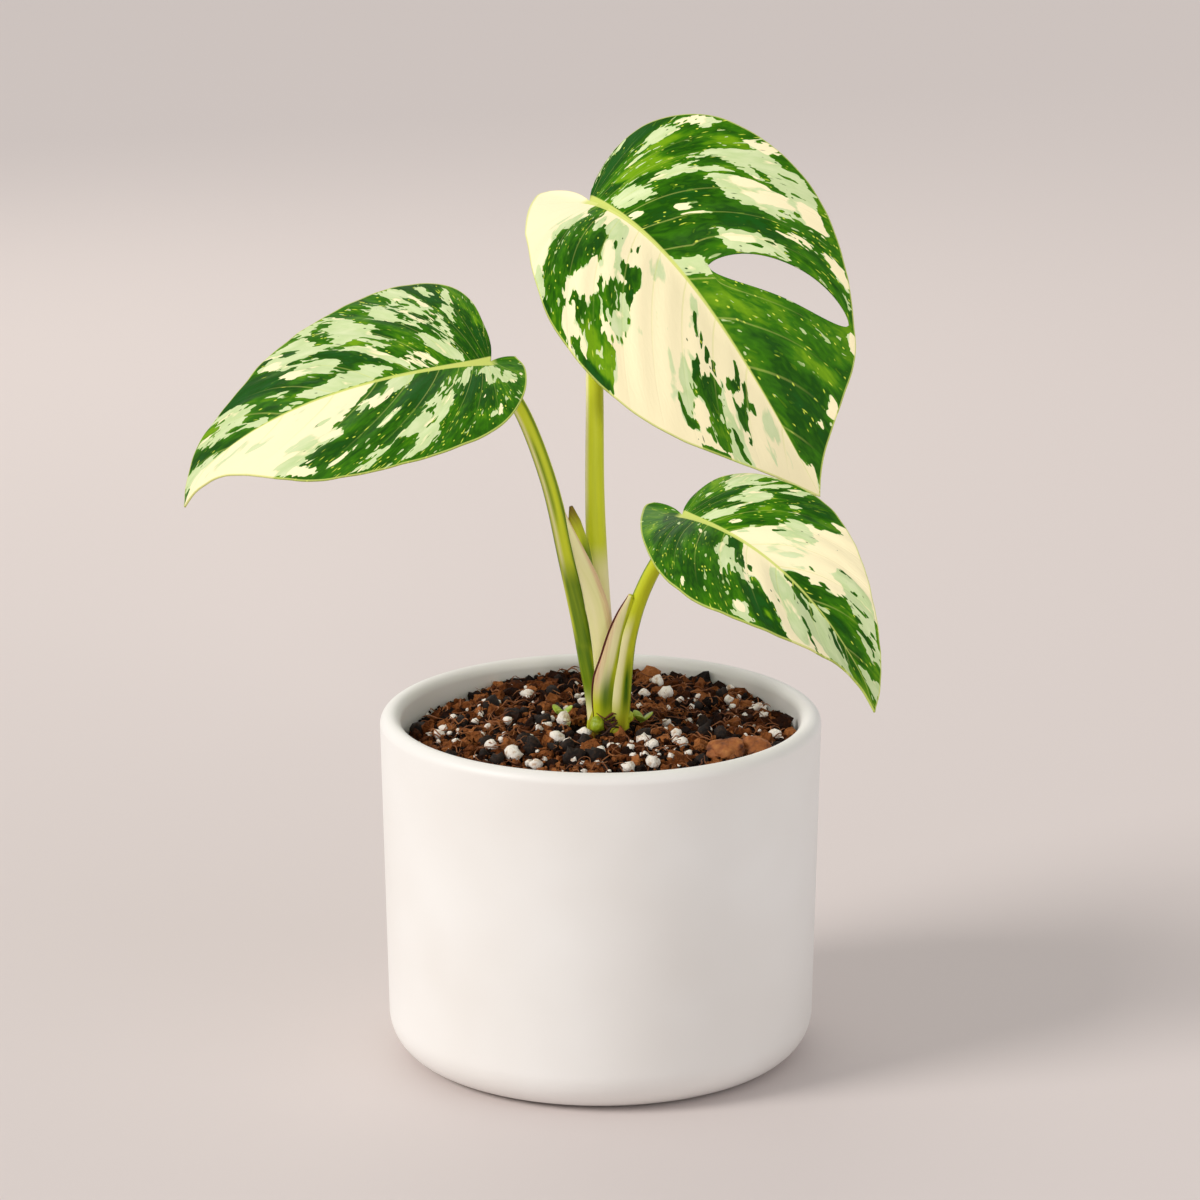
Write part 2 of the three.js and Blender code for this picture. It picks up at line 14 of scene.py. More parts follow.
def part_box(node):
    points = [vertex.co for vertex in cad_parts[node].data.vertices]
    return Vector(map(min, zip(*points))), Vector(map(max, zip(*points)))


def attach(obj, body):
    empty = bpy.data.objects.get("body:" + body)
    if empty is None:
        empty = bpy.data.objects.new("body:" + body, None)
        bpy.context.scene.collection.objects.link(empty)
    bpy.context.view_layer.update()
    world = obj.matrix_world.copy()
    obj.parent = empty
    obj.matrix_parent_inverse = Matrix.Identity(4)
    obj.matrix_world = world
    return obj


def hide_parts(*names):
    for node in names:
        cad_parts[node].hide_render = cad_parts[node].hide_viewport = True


bl_info = {
    "name": "Potted variegated monstera",
    "version": (1, 0, 0),
    "blender": (4, 5, 0),
    "location": "3D View > Sidebar > Monstera",
    "description": "Builds a young variegated monstera, its potting mix and its ceramic pot",
    "category": "Object",
}

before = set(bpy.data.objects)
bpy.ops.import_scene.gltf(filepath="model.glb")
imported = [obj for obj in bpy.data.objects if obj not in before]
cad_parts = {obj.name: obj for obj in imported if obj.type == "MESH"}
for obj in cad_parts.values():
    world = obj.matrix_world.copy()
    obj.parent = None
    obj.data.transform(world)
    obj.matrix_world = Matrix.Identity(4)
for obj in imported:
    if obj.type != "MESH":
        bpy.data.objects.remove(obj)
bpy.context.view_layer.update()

MM = 0.001
BODY = "root"
SEED = 7


def linear(hex_colour):
    """An sRGB hex colour as linear red, green, blue and alpha."""
    shares = [int(hex_colour[k : k + 2], 16) / 255 for k in (1, 3, 5)]
    return [c / 12.92 if c <= 0.04045 else ((c + 0.055) / 1.055) ** 2.4 for c in shares] + [1]


def per(millimetres):
    """A pattern's scale, from the real size of its marks."""
    return 1 / (millimetres * MM)


def size(name, description, millimetres):
    """A length that the panel shows."""
    metres = millimetres * MM
    return bpy.props.FloatProperty(name=name, description=description, default=metres, unit="LENGTH")


def colour(name, description, hex_colour):
    """A colour that the panel shows."""
    tone = linear(hex_colour)
    return bpy.props.FloatVectorProperty(
        name=name, description=description, default=tone, size=4, min=0, max=1, subtype="COLOR"
    )


def amount(name, description, number):
    """A number of pieces that the panel shows."""
    return bpy.props.IntProperty(name=name, description=description, default=number)


def strength(name, description, value):
    """A light's strength that the panel shows."""
    return bpy.props.FloatProperty(name=name, description=description, default=value)


class MONSTERA_PG_pot(bpy.types.PropertyGroup):
    """The ceramic pot."""

    rim_radius: size("Rim radius", "Outer radius at the lip", 60)
    foot_radius: size("Foot radius", "Outer radius above the rounded foot", 58.2)
    height: size("Height", "Height of the pot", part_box("pot")[1].z / MM)
    wall: size("Wall", "Thickness of the wall at the lip", 5.7)
    glaze: colour("Glaze", "Matte white glaze", "#f8f7f5")
    glaze_shade: colour("Glaze in hollows", "Faint warm cast where the glaze lies thicker", "#e6e1db")


class MONSTERA_PG_mix(bpy.types.PropertyGroup):
    """The potting mix."""

    crumbs: amount("Bark crumbs", "Coarse crumbs on the mix", 900)
    crumble: amount("Fine crumbs", "Fine crumbs between them", 5200)
    beads: amount("Perlite", "Small perlite beads scattered on the mix", 190)
    fibres: amount("Fibres", "Coir fibres on the mix", 260)
    bark_dark: colour("Wet bark", "Nearly black wet bark", "#2b150b")
    bark: colour("Bark", "Damp brown bark", "#653413")
    bark_light: colour("Dry bark", "Drier faces of the bark", "#ad6c3c")
    charcoal: colour("Charcoal", "Charcoal and wet bark", "#1a1310")
    fibre: colour("Coir", "Brown coconut fibre", "#9c6134")
    perlite: colour("Perlite colour", "White expanded perlite", "#f4ece2")


class MONSTERA_PG_leaves(bpy.types.PropertyGroup):
    """The marbled leaves."""

    groove: size("Vein groove", "How far a side vein is sunk in the upper face", 0.2)
    wave: size("Margin wave", "How far the margin rises and falls", 0.18)
    deep_green: colour("Deep green", "Darkest green", "#194a00")
    mid_green: colour("Green", "Main green", "#357100")
    bright_green: colour("Bright green", "Young green", "#709e0c")
    # Painted sheen: dark green with the bluish sheen of the glossy face painted into its colour.
    sheen_blue_green: colour("Blue green sheen", "Dark green with a painted bluish sheen, near the base", "#19540e")
    sage: colour("Sage", "Half green tissue", "#bbd290")
    sage_light: colour("Light sage", "Nearly white tissue", "#dbe5b4")
    cream: colour("Cream", "Tissue with no green", "#fff2c6")
    speck: colour("Specks", "Yellow-green specks and dashes", "#d2e04e")
    rib: colour("Midrib", "Midrib and margin", "#d2db72")
    underside: colour("Underside", "Paler lower face", "#8fa860")


class MONSTERA_PG_stalks(bpy.types.PropertyGroup):
    """The leaf stalks and the stem."""

    skin: colour("Stalk", "Yellow-green skin", "#d8de30")
    skin_dark: colour("Green stripes", "Darker green stripes and bands", "#2c6604")
    # The pale colour also paints a highlight on the right sheath's front.
    skin_pale: colour("Pale stripes", "Pale stripes and sheaths", "#fbf1bd")
    sheath_pink: colour("Pink", "Pink cast of the dry sheath edge", "#e3b294")
    scar_brown: colour("Brown", "Brown scars and dry margins", "#5a1c10")


class MONSTERA_PG_studio(bpy.types.PropertyGroup):
    """The floor and the light."""

    floor: colour("Floor", "Plain pale floor", "#d8cecb")
    sun: strength("Daylight", "Strength of the light from the left", 1.92)
    leaf_light: strength("Leaf light", "Strength of the light on the top leaf", 9)
    fill: strength("Fill light", "Strength of the soft side lights", 2)
    sky: strength("Surroundings", "Strength of the even light", 0.6)


def node(material, kind, links=(), stops=(), **settings):
    """Adds a node and links it. Links are named, or in the order of the node's inputs.

    A link's value is a number, a colour, another node or one of its sockets.
    """
    made = material.node_tree.nodes.new("ShaderNode" + kind)
    for name, value in settings.items():
        setattr(made, name, value)
    if stops:
        ramp = made.color_ramp
        while len(ramp.elements) < len(stops):
            ramp.elements.new(1)
        for element, (place, tone) in zip(ramp.elements, stops):
            element.position = place
            element.color = tone
    sockets = [socket for socket in made.inputs if socket.enabled]
    if isinstance(links, dict):
        pairs = [(next(s for s in sockets if s.name == name), value) for name, value in links.items()]
    else:
        pairs = zip(sockets, links)
    for socket, value in pairs:
        if isinstance(value, bpy.types.Node):
            value = next(s for s in value.outputs if s.enabled)
        if isinstance(value, bpy.types.NodeSocket):
            material.node_tree.links.new(value, socket)
        else:
            socket.default_value = value
    return made


def new_material(name):
    material = bpy.data.materials.new(name)
    material.use_nodes = True
    material.node_tree.nodes.clear()
    return material


def skin_material(material, links):
    """Ends a material with its surface shader."""
    surface = node(material, "BsdfPrincipled", links)
    node(material, "OutputMaterial", {"Surface": surface})
    return material


def smoothstep(x, low, high):
    u = np.clip((np.asarray(x, float) - low) / (high - low), 0, 1)
    return u * u * (3 - 2 * u)


def between(x, rise, fall):
    """Grows from 0 to 1 over one range and goes back to 0 over the other."""
    return smoothstep(x, *rise) * (1 - smoothstep(x, *fall))


ROUTE_STEPS = 60
ROUTE_STEP = 1e-3
# Points closer than this are one point.
TINY = 1e-3


class Route:
    """A smooth line through a few points, measured by its length."""

    def __init__(self, points):
        p = np.array(points, float)
        p = np.vstack([2 * p[0] - p[1], p, 2 * p[-1] - p[-2]])
        u = np.linspace(0, 1, ROUTE_STEPS, endpoint=False)[:, None]
        spans = []
        for a, b, c, d in zip(p, p[1:], p[2:], p[3:]):
            before, here, after = (math.sqrt(np.linalg.norm(e)) for e in (b - a, c - b, d - c))
            lead = ((b - a) / before - (c - a) / (before + here) + (c - b) / here) * here
            trail = ((c - b) / here - (d - b) / (here + after) + (d - c) / after) * here
            bend = 3 * (c - b) - 2 * lead - trail
            spans.append(b + u * lead + u**2 * bend + u**3 * (2 * (b - c) + lead + trail))
        self.line = np.vstack([*spans, p[-2]])
        steps = np.linalg.norm(np.diff(self.line, axis=0), axis=1)
        self.far = np.concatenate([[0], np.cumsum(steps)])
        self.length = self.far[-1]

    def at(self, share):
        far = np.asarray(share, float) * self.length
        return np.stack([np.interp(far, self.far, axis) for axis in self.line.T], -1)

    def ahead(self, share):
        share = np.asarray(share, float)
        step = self.at(np.minimum(share + ROUTE_STEP, 1)) - self.at(np.maximum(share - ROUTE_STEP, 0))
        return step / np.linalg.norm(step, axis=-1, keepdims=True)


def set_places(verts, places):
    for vert, place in zip(verts, places):
        vert.co = place


def add_piece(mesh_maker, name, material, nodes, smooth=True):
    """Makes a piece of a bmesh in millimetres. It rides on the body and stands for its nodes."""
    bmesh.ops.scale(mesh_maker, vec=(MM, MM, MM), verts=mesh_maker.verts)
    for face in mesh_maker.faces:
        face.smooth = smooth
    mesh = bpy.data.meshes.new(name)
    mesh_maker.to_mesh(mesh)
    mesh_maker.free()
    mesh.materials.append(material)
    piece = bpy.data.objects.new(name, mesh)
    bpy.context.scene.collection.objects.link(piece)
    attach(piece, BODY)
    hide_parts(*nodes)
    return piece


# The pot

POT_FLOOR = 7
FOOT_ROUND = 12
INNER_ROUND = 8
WALL_DRAFT = 1.8
POT_TURNS = 192
ARC_STEPS = 20


def draw_profile(bm, start, moves):
    """Draws a profile in the XZ plane. A move is ("line", x, z) or ("arc", x, z, turn) about a centre."""
    tip = bm.verts.new((start[0], 0, start[1]))
    for kind, x, z, *turn in moves:
        if kind == "line":
            made = bmesh.ops.extrude_vert_indiv(bm, verts=[tip])
            tip = made["verts"][0]
            tip.co = (x, 0, z)
        else:
            angle = math.radians(turn[0])
            made = bmesh.ops.spin(
                bm, geom=[tip], cent=(x, 0, z), axis=(0, -1, 0), angle=angle, steps=ARC_STEPS
            )
            tip = next(g for g in made["geom_last"] if isinstance(g, bmesh.types.BMVert))


def turn_profile(bm, steps):
    """Turns the profile round the Z axis into a closed body."""
    outline = [*bm.verts, *bm.edges]
    bmesh.ops.spin(
        bm, geom=outline, cent=(0, 0, 0), axis=(0, 0, 1), angle=math.tau, steps=steps, use_merge=True
    )
    bmesh.ops.remove_doubles(bm, verts=bm.verts, dist=TINY)
    bmesh.ops.recalc_face_normals(bm, faces=bm.faces)


def ceramic(pot):
    """Bisque-smooth glazed earthenware: white and matte, with a soft broad sheen and faint ripples."""
    glaze = new_material("Matte white glazed earthenware")
    place = node(glaze, "TexCoord").outputs["Object"]
    cast = node(glaze, "TexNoise", {"Vector": place, "Scale": per(45), "Detail": 2})
    tone = node(glaze, "Mix", {"Factor": cast, "A": pot.glaze, "B": pot.glaze_shade}, data_type="RGBA")
    grit = node(glaze, "TexNoise", {"Vector": place, "Scale": per(0.8), "Detail": 3})
    ripple = node(glaze, "TexNoise", {"Vector": place, "Scale": per(14), "Detail": 1})
    height = node(glaze, "Mix", {"Factor": 0.25, "A": ripple, "B": grit})
    bump = node(glaze, "Bump", {"Height": height, "Strength": 0.12, "Distance": 0.2 * MM})
    return skin_material(glaze, {"Base Color": tone, "Normal": bump, "Roughness": 0.46, "IOR": 1.5})


class MONSTERA_OT_pot(bpy.types.Operator):
    """Turn the ceramic pot from its profile"""

    bl_idname = "monstera.pot"
    bl_label = "Pot"

    def execute(self, context):
        pot = context.scene.monstera_pot
        rim, foot, height, wall = (v / MM for v in (pot.rim_radius, pot.foot_radius, pot.height, pot.wall))
        lip = wall / 2
        flat = foot - FOOT_ROUND
        inner_top = rim - wall
        inner_foot = inner_top - WALL_DRAFT
        bm = bmesh.new()
        moves = [
            ("line", flat, 0),
            ("arc", flat, FOOT_ROUND, 90),
            ("line", rim, height - lip),
            ("arc", rim - lip, height - lip, 180),
            ("line", inner_foot, POT_FLOOR + INNER_ROUND),
            ("arc", inner_foot - INNER_ROUND, POT_FLOOR + INNER_ROUND, -90),
            ("line", 0, POT_FLOOR),
        ]
        draw_profile(bm, (0, 0), moves)
        turn_profile(bm, POT_TURNS)
        add_piece(bm, "ceramic_pot", ceramic(pot), ["pot"])
        return {"FINISHED"}


# The potting mix

MIX_RADIUS = 54
MIX_BOTTOM = 7.4
MIX_EDGE = 87.5
MIX_CROWN = 91
MIX_BACK_RISE = 4.5
MIX_RIGHT_RISE = 1
STEM_CLEARANCE = 8.5
# The mix outside the stem, as two shares of a disc's area.
CLEAR_OF_STEM = ((STEM_CLEARANCE / MIX_RADIUS) ** 2, 1)
MIX_TURNS = 160
MIX_RINGS = 54
# The bed under the crumbs follows the pot's inside, and its rough top lies below the crumbs.
BED_WAIST = 30
BED_FOOT = 44
BED_SINK = 2.2
BED_ROUGH = 1.1
BED_PITCH = 3.5
# The bed's noise: how fast its finer waves weaken, how much finer each is and how many there are.
BED_WAVES = (1, 2, 3)
# Swells on a broken lump: how many to a radius, and how strong.
SWELLS = ((1.3, 1), (3.1, 0.5))
# Each lump reads its swells at a random place of the noise, up to this far out.
SWELL_FIELD = 50
# Lumps at random spots: their radii, and how close they lie as a share of both radii together.
SCATTER_TRIES = 60
COALS_MORE = 34
COAL_RADII, COAL_SPACING = (1.2, 2.8), 0.85
CRUMB_RADII, CRUMB_SPACING = (0.7, 2.5), 0.6
BEAD_RADII, BEAD_SPACING = (0.4, 1.3), 0.45
CRUMBLE_RADII = (0.3, 1)
# How each kind is stretched, how rough it is and how high it lies: a share of its radius, then a rise.
CRUMB_STRETCH, CRUMB_ROUGH, CRUMB_LIE, CRUMB_RISE = (0.7, 1.2), 0.75, (-0.3, 0.45), -0.3
COAL_STRETCH, COAL_ROUGH, COAL_LIE = (0.8, 1.1), 0.6, 0.3
BEAD_STRETCH, BEAD_ROUGH, BEAD_LIE, BEAD_RISE = (0.95, 0.85, 0.75), 0.5, 0.45, 0.4
CRUMBLE_STRETCH, CRUMBLE_ROUGH, CRUMBLE_RISE = (0.6, 1.3), 0.5, (-1.8, 0.9)
# Coir fibres: how far out they start as shares of the mix's area, their steps, curl, rise and radii.
FIBRE_AREA = (0.03, 0.9)
FIBRE_POINTS = 5
FIBRE_STEP = 1.8
FIBRE_CURL = 0.9
FIBRE_RISE = (0.8, 3)
FIBRE_RADII = (0.1, 0.24)
FIBRE_MARGIN = 1

# Perlite beads where the photograph shows them: across, away from the eye, size.
BEADS = [
    (15.9, 39.5, 4.6), (18.3, 29.3, 4.8), (-20.3, 30.6, 4), (-10.2, 4.9, 5.4), (-4.4, -6.9, 3.8),
    (-23.3, -23.5, 5.6), (-17.2, -31.7, 4), (11.4, -13, 3.8), (14, -17.4, 4), (14, -31.4, 4.6),
    (7.2, -35.6, 4.2), (20.3, -7, 3.4), (21.9, -14.7, 3.8), (-29.5, -14.3, 4), (-25.4, 7.4, 3.2),
    (-11.7, -11.3, 4.4), (8.1, -20.1, 3), (47.5, -2.5, 3.6), (18, 3, 3.2), (43.5, 21.5, 3.6),
    (35.5, 25.5, 3.4), (-43.9, 0.5, 3.4), (-43, 6, 3), (12, 30, 3.2), (-5, 22, 2.8),
]
# Charcoal and dark bark where the photograph shows them.
COALS = [
    (-18.2, -17.1, 6), (-7.4, -27, 6.4), (-1.2, -25.4, 5.6), (-9, -17, 4.6), (28, 4, 5), (-30, 24, 5.5),
]
# Crumbs that stand up to the lip at the back: across, away from the eye, height of the top, size.
BACK_CRUMBS = [
    (14, 46, 94.6, 5.4), (20, 46, 94.2, 6), (28, 43.5, 94, 7), (39, 35, 92.6, 8), (46, 23, 90.5, 8),
    (-4, 48, 93.2, 6), (-11, 47.5, 93.2, 6), (-28, 41.5, 91.6, 8), (-38, 32, 89.6, 8), (-46, 18, 88.6, 7),
    (33, 40, 92.4, 6.5), (-20, 45, 92, 7), (5, 48, 93.4, 6), (-33, 38, 90.6, 6.5), (43, 30, 91.4, 6.5),
]
# Two flat chips: across, away from the eye, and their half sizes. They lean towards the eye.
CHIPS = [(33.5, -22.5, 4.9, 3.8, 1.7), (41.5, -19.5, 4.2, 3.4, 2)]
CHIP_TILT = Matrix.Rotation(math.radians(36), 4, "X")
CHIP_ROUGH = 0.3
CHIP_RISE = 2.4


def mix_height(x, y):
    """Height of the mix's surface."""
    share = min(math.hypot(x, y) / MIX_RADIUS, 1)
    back = max(y, 0) / MIX_RADIUS
    level = MIX_CROWN + (MIX_EDGE - MIX_CROWN) * share * share
    return level + MIX_RIGHT_RISE * share * x / MIX_RADIUS + MIX_BACK_RISE * back * back


def add_lump(bm, rng, place, radii, rough, faces=1, turned=True):
    """Adds one broken lump: an icosphere pushed in and out, stretched and turned."""
    made = bmesh.ops.create_icosphere(bm, subdivisions=faces, radius=1)["verts"]
    seed = Vector([rng.uniform(-SWELL_FIELD, SWELL_FIELD) for _ in range(3)])
    angle = rng.uniform(0, math.tau)
    turn = Matrix.Rotation(angle, 3, Vector([rng.gauss(0, 1) for _ in range(3)]).normalized())
    if not turned:
        turn.identity()
    for vert in made:
        swell = 1 + rough * sum(share * noise.noise(vert.co * pitch + seed) for pitch, share in SWELLS)
        sized = Vector([c * r * swell for c, r in zip(vert.co, radii)])
        vert.co = turn @ sized + Vector(place)
    return made


def gather(add_one, count, batch=60):
    """Builds many small shapes in batches, which keeps each operator quick, and joins them."""
    whole = bmesh.new()
    scrap = bpy.data.meshes.new("scrap")
    for first in range(0, count, batch):
        bm = bmesh.new()
        for k in range(first, min(first + batch, count)):
            add_one(bm, k)
        bm.to_mesh(scrap)
        bm.free()
        whole.from_mesh(scrap)
    bpy.data.meshes.remove(scrap)
    return whole


def uneven(rng, radius, stretch):
    """Three radii of a broken lump."""
    return [radius * rng.uniform(*stretch) for _ in range(3)]


def random_spot(rng, area, limit):
    """A random place on the mix, between two shares of a disc's area."""
    reach = math.sqrt(rng.uniform(*area)) * limit
    turn = rng.uniform(0, math.tau)
    return reach * math.cos(turn), reach * math.sin(turn)


def scattered(rng, number, radii, spacing, taken):
    """Random spots on the mix, each clear of the spots already taken."""
    spots = []
    tries = 0
    while len(spots) < number and tries < SCATTER_TRIES * number:
        tries += 1
        radius = rng.uniform(*radii)
        x, y = random_spot(rng, CLEAR_OF_STEM, MIX_RADIUS - radius)
        if all(math.hypot(x - a, y - b) > spacing * (radius + r) for a, b, r in taken):
            spots.append((x, y, radius))
            taken.append((x, y, radius))
    return spots


def bark_material(mix, name, shift):
    """Composted bark: rough and damp, each crumb its own brown, with drier faces. A shift darkens it."""
    bark = new_material(name)
    place = node(bark, "TexCoord").outputs["Object"]
    own = node(bark, "NewGeometry").outputs["Random Per Island"]
    mottle = node(bark, "TexNoise", {"Vector": place, "Scale": per(1.4), "Detail": 5})
    grain = node(bark, "TexNoise", {"Vector": place, "Scale": per(0.6), "Detail": 5})
    blend = node(bark, "Mix", [0.4, own, mottle])
    tones = [(0.22, mix.charcoal), (0.4, mix.bark_dark), (0.58, mix.bark), (0.82, mix.bark_light)]
    tone = node(bark, "ValToRGB", [blend], [(start + shift, brown) for start, brown in tones])
    bump = node(bark, "Bump", {"Height": grain, "Strength": 1, "Distance": 0.9 * MM})
    surface = {"Base Color": tone, "Normal": bump, "Roughness": 0.9, "Specular IOR Level": 0.1}
    return skin_material(bark, surface)


def perlite_material(mix):
    """Expanded volcanic glass: chalk white and matte, pitted with fine pores."""
    bead = new_material("Expanded perlite")
    place = node(bead, "TexCoord").outputs["Object"]
    pores = node(bead, "TexVoronoi", {"Vector": place, "Scale": per(0.7)})
    dirt = node(bead, "TexNoise", {"Vector": place, "Scale": per(1.6), "Detail": 3})
    stops = [(0.3, linear("#c9a98c")), (0.46, mix.perlite), (1, mix.perlite)]
    tone = node(bead, "ValToRGB", {"Fac": dirt}, stops)
    bump = node(bead, "Bump", {"Height": pores, "Strength": 0.6, "Distance": 0.3 * MM})
    return skin_material(bead, {"Base Color": tone, "Normal": bump, "Roughness": 0.9})


class MONSTERA_OT_mix(bpy.types.Operator):
    """Fill the pot with bark, charcoal, perlite and coir"""

    bl_idname = "monstera.mix"
    bl_label = "Potting mix"

    def execute(self, context):
        mix = context.scene.monstera_mix
        rng = Random(SEED)
        bark = bark_material(mix, "Composted bark", 0)

        bm = bmesh.new()
        corners = [(MIX_RADIUS, MIX_EDGE), (MIX_RADIUS, BED_WAIST), (BED_FOOT, MIX_BOTTOM), (0, MIX_BOTTOM)]
        draw_profile(bm, (0, MIX_CROWN), [("line", *corner) for corner in corners])
        bm.edges.ensure_lookup_table()
        bmesh.ops.subdivide_edges(bm, edges=[bm.edges[0]], cuts=MIX_RINGS)
        turn_profile(bm, MIX_TURNS)
        for vert in bm.verts:
            x, y, z = vert.co
            if z > BED_WAIST + 1:
                rough = noise.fractal(Vector((x, y, 0)) / BED_PITCH, *BED_WAVES)
                vert.co.z = mix_height(x, y) - BED_SINK + BED_ROUGH * rough
        # The bed is damp mix in a darker shift of the bark colours, which also stands as painted shade in the
        # gaps between the crumbs.
        add_piece(bm, "mix_bed", bark_material(mix, "Wet mix below", 0.18), ["soil"])

        whites = [(x, y, s / 2) for x, y, s in BEADS]
        coals = [(x, y, s / 2) for x, y, s in COALS]
        taken = whites + coals + [(x, y, wide) for x, y, wide, *_ in CHIPS]
        coals += scattered(rng, COALS_MORE, COAL_RADII, COAL_SPACING, taken)
        crumbs = scattered(rng, mix.crumbs, CRUMB_RADII, CRUMB_SPACING, taken)
        whites += scattered(rng, mix.beads, BEAD_RADII, BEAD_SPACING, taken)

        def add_crumb(bm, k):
            if k < len(BACK_CRUMBS):
                x, y, top, across = BACK_CRUMBS[k]
                radius = across / 2
                z = top - radius
            else:
                x, y, radius = crumbs[k - len(BACK_CRUMBS)]
                z = mix_height(x, y) + radius * rng.uniform(*CRUMB_LIE) + CRUMB_RISE
            add_lump(bm, rng, (x, y, z), uneven(rng, radius, CRUMB_STRETCH), CRUMB_ROUGH, 2)

        bm = gather(add_crumb, len(crumbs) + len(BACK_CRUMBS))
        add_piece(bm, "bark_crumbs", bark, ["soil"], smooth=False)

        def add_coal(bm, k):
            x, y, radius = coals[k]
            z = mix_height(x, y) + radius * COAL_LIE
            add_lump(bm, rng, (x, y, z), uneven(rng, radius, COAL_STRETCH), COAL_ROUGH, 2)

        bm = gather(add_coal, len(coals))
        add_piece(bm, "charcoal", charcoal_material(mix), ["soil"])

        def add_bead(bm, k):
            x, y, radius = whites[k]
            z = mix_height(x, y) + radius * BEAD_LIE + BEAD_RISE
            add_lump(bm, rng, (x, y, z), [radius * share for share in BEAD_STRETCH], BEAD_ROUGH, 2)

        bm = gather(add_bead, len(whites))
        add_piece(bm, "perlite_beads", perlite_material(mix), ["soil"])

        def add_crumble(bm, k):
            radius = rng.uniform(*CRUMBLE_RADII)
            x, y = random_spot(rng, CLEAR_OF_STEM, MIX_RADIUS - radius)
            z = mix_height(x, y) + rng.uniform(*CRUMBLE_RISE)
            add_lump(bm, rng, (x, y, z), uneven(rng, radius, CRUMBLE_STRETCH), CRUMBLE_ROUGH)

        bm = gather(add_crumble, mix.crumble)
        fine = bark_material(mix, "Fine bark and coir dust", 0.06)
        add_piece(bm, "fine_crumbs", fine, ["soil"], smooth=False)

        def add_fibre(bm, k):
            x, y = random_spot(rng, FIBRE_AREA, MIX_RADIUS)
            aim = rng.uniform(0, math.tau)
            points = []
            for _ in range(FIBRE_POINTS):
                if math.hypot(x, y) < MIX_RADIUS - FIBRE_MARGIN:
                    points.append((x, y, mix_height(x, y) + rng.uniform(*FIBRE_RISE)))
                x, y = x + FIBRE_STEP * math.cos(aim), y + FIBRE_STEP * math.sin(aim)
                aim += rng.uniform(-FIBRE_CURL, FIBRE_CURL)
            if len(points) > 2:
                add_strand(bm, points, rng.uniform(*FIBRE_RADII))

        bm = gather(add_fibre, mix.fibres, 1)
        coir = coir_material("Coconut coir", mix.bark, mix.fibre)
        add_piece(bm, "coir_fibres", coir, ["soil"])

        bm = bmesh.new()
        for x, y, *radii in CHIPS:
            made = add_lump(bm, rng, (0, 0, 0), radii, CHIP_ROUGH, 4, turned=False)
            lie = Matrix.Translation((x, y, mix_height(x, y) + CHIP_RISE)) @ CHIP_TILT
            bmesh.ops.transform(bm, matrix=lie, verts=made)
        add_piece(bm, "bark_chip", chip_material(), ["soil"])
        return {"FINISHED"}


STRAND_SIDES = 5
STRAND_RINGS = 9
STRAND_TIP = 0.05
# A tube's width is measured across the view, turned a little so that no stalk runs along it.
ACROSS = np.array([1.0, 0.02, 0])


def unit_tube(bm, sides, rings):
    """Adds a closed tube of radius and height 1 to an empty bmesh. Gives its vertices, heights and angles."""
    bmesh.ops.create_cone(bm, cap_ends=True, segments=sides, radius1=1, radius2=1, depth=1)
    upright = [e for e in bm.edges if abs(e.verts[0].co.z - e.verts[1].co.z) > 0.5]
    bmesh.ops.subdivide_edges(bm, edges=upright, cuts=rings, use_grid_fill=True)
    verts = list(bm.verts)
    grid = np.array([vert.co for vert in verts])
    return verts, grid[:, 2] + 0.5, np.arctan2(grid[:, 1], grid[:, 0])


def wrapped(route, share, angle, across, through):
    """Offsets from a route to the skin of a tube that runs along it."""
    ahead = route.ahead(share)
    wide = ACROSS - ahead * (ahead @ ACROSS)[:, None]
    wide /= np.linalg.norm(wide, axis=1, keepdims=True)
    deep = np.cross(ahead, wide)
    return wide * (np.cos(angle) * across)[:, None] + deep * (np.sin(angle) * through)[:, None]


def add_strand(bm, points, radius, rings=STRAND_RINGS):
    """Adds one thin fibre that tapers to both ends."""
    route = Route(points)
    verts, share, angle = unit_tube(bm, STRAND_SIDES, rings)
    girth = radius * np.sqrt(np.maximum(1 - (2 * share - 1) ** 2, STRAND_TIP))
    set_places(verts, route.at(share) + wrapped(route, share, angle, girth, girth))


def coir_material(name, dark, light):
    """Coir and other dry fibre: dull brown, each strand its own shade between two."""
    coir = new_material(name)
    own = node(coir, "NewGeometry").outputs["Random Per Island"]
    tone = node(coir, "Mix", [own, dark, light], data_type="RGBA")
    return skin_material(coir, {"Base Color": tone, "Roughness": 0.8})


def charcoal_material(mix):
    """Horticultural charcoal: near black with a faint dull shine on its broken faces."""
    coal = new_material("Horticultural charcoal")
    place = node(coal, "TexCoord").outputs["Object"]
    grain = node(coal, "TexNoise", {"Vector": place, "Scale": per(0.9), "Detail": 5})
    tone = node(coal, "ValToRGB", {"Fac": grain}, [(0.45, mix.charcoal), (0.75, linear("#3b271b"))])
    bump = node(coal, "Bump", {"Height": grain, "Strength": 0.7, "Distance": 0.6 * MM})
    surface = {"Base Color": tone, "Normal": bump, "Roughness": 0.75, "Specular IOR Level": 0.25}
    return skin_material(coal, surface)


def chip_material():
    """Pine bark chip: orange-brown, flaky, with dark cracks between its layers."""
    chip = new_material("Pine bark chip")
    place = node(chip, "TexCoord").outputs["Object"]
    flakes = node(chip, "TexVoronoi", {"Vector": place, "Scale": per(2.4)}, feature="DISTANCE_TO_EDGE")
    stain = node(chip, "TexNoise", {"Vector": place, "Scale": per(3), "Detail": 4})
    stops = [(0.3, linear("#55290f")), (0.5, linear("#9a5826")), (0.8, linear("#c07f42"))]
    tone = node(chip, "ValToRGB", {"Fac": stain}, stops)
    bump = node(chip, "Bump", {"Height": flakes, "Strength": 0.8, "Distance": 0.6 * MM})
    return skin_material(chip, {"Base Color": tone, "Normal": bump, "Roughness": 0.75})


# The leaf blades: where they are, their curves and their outlines

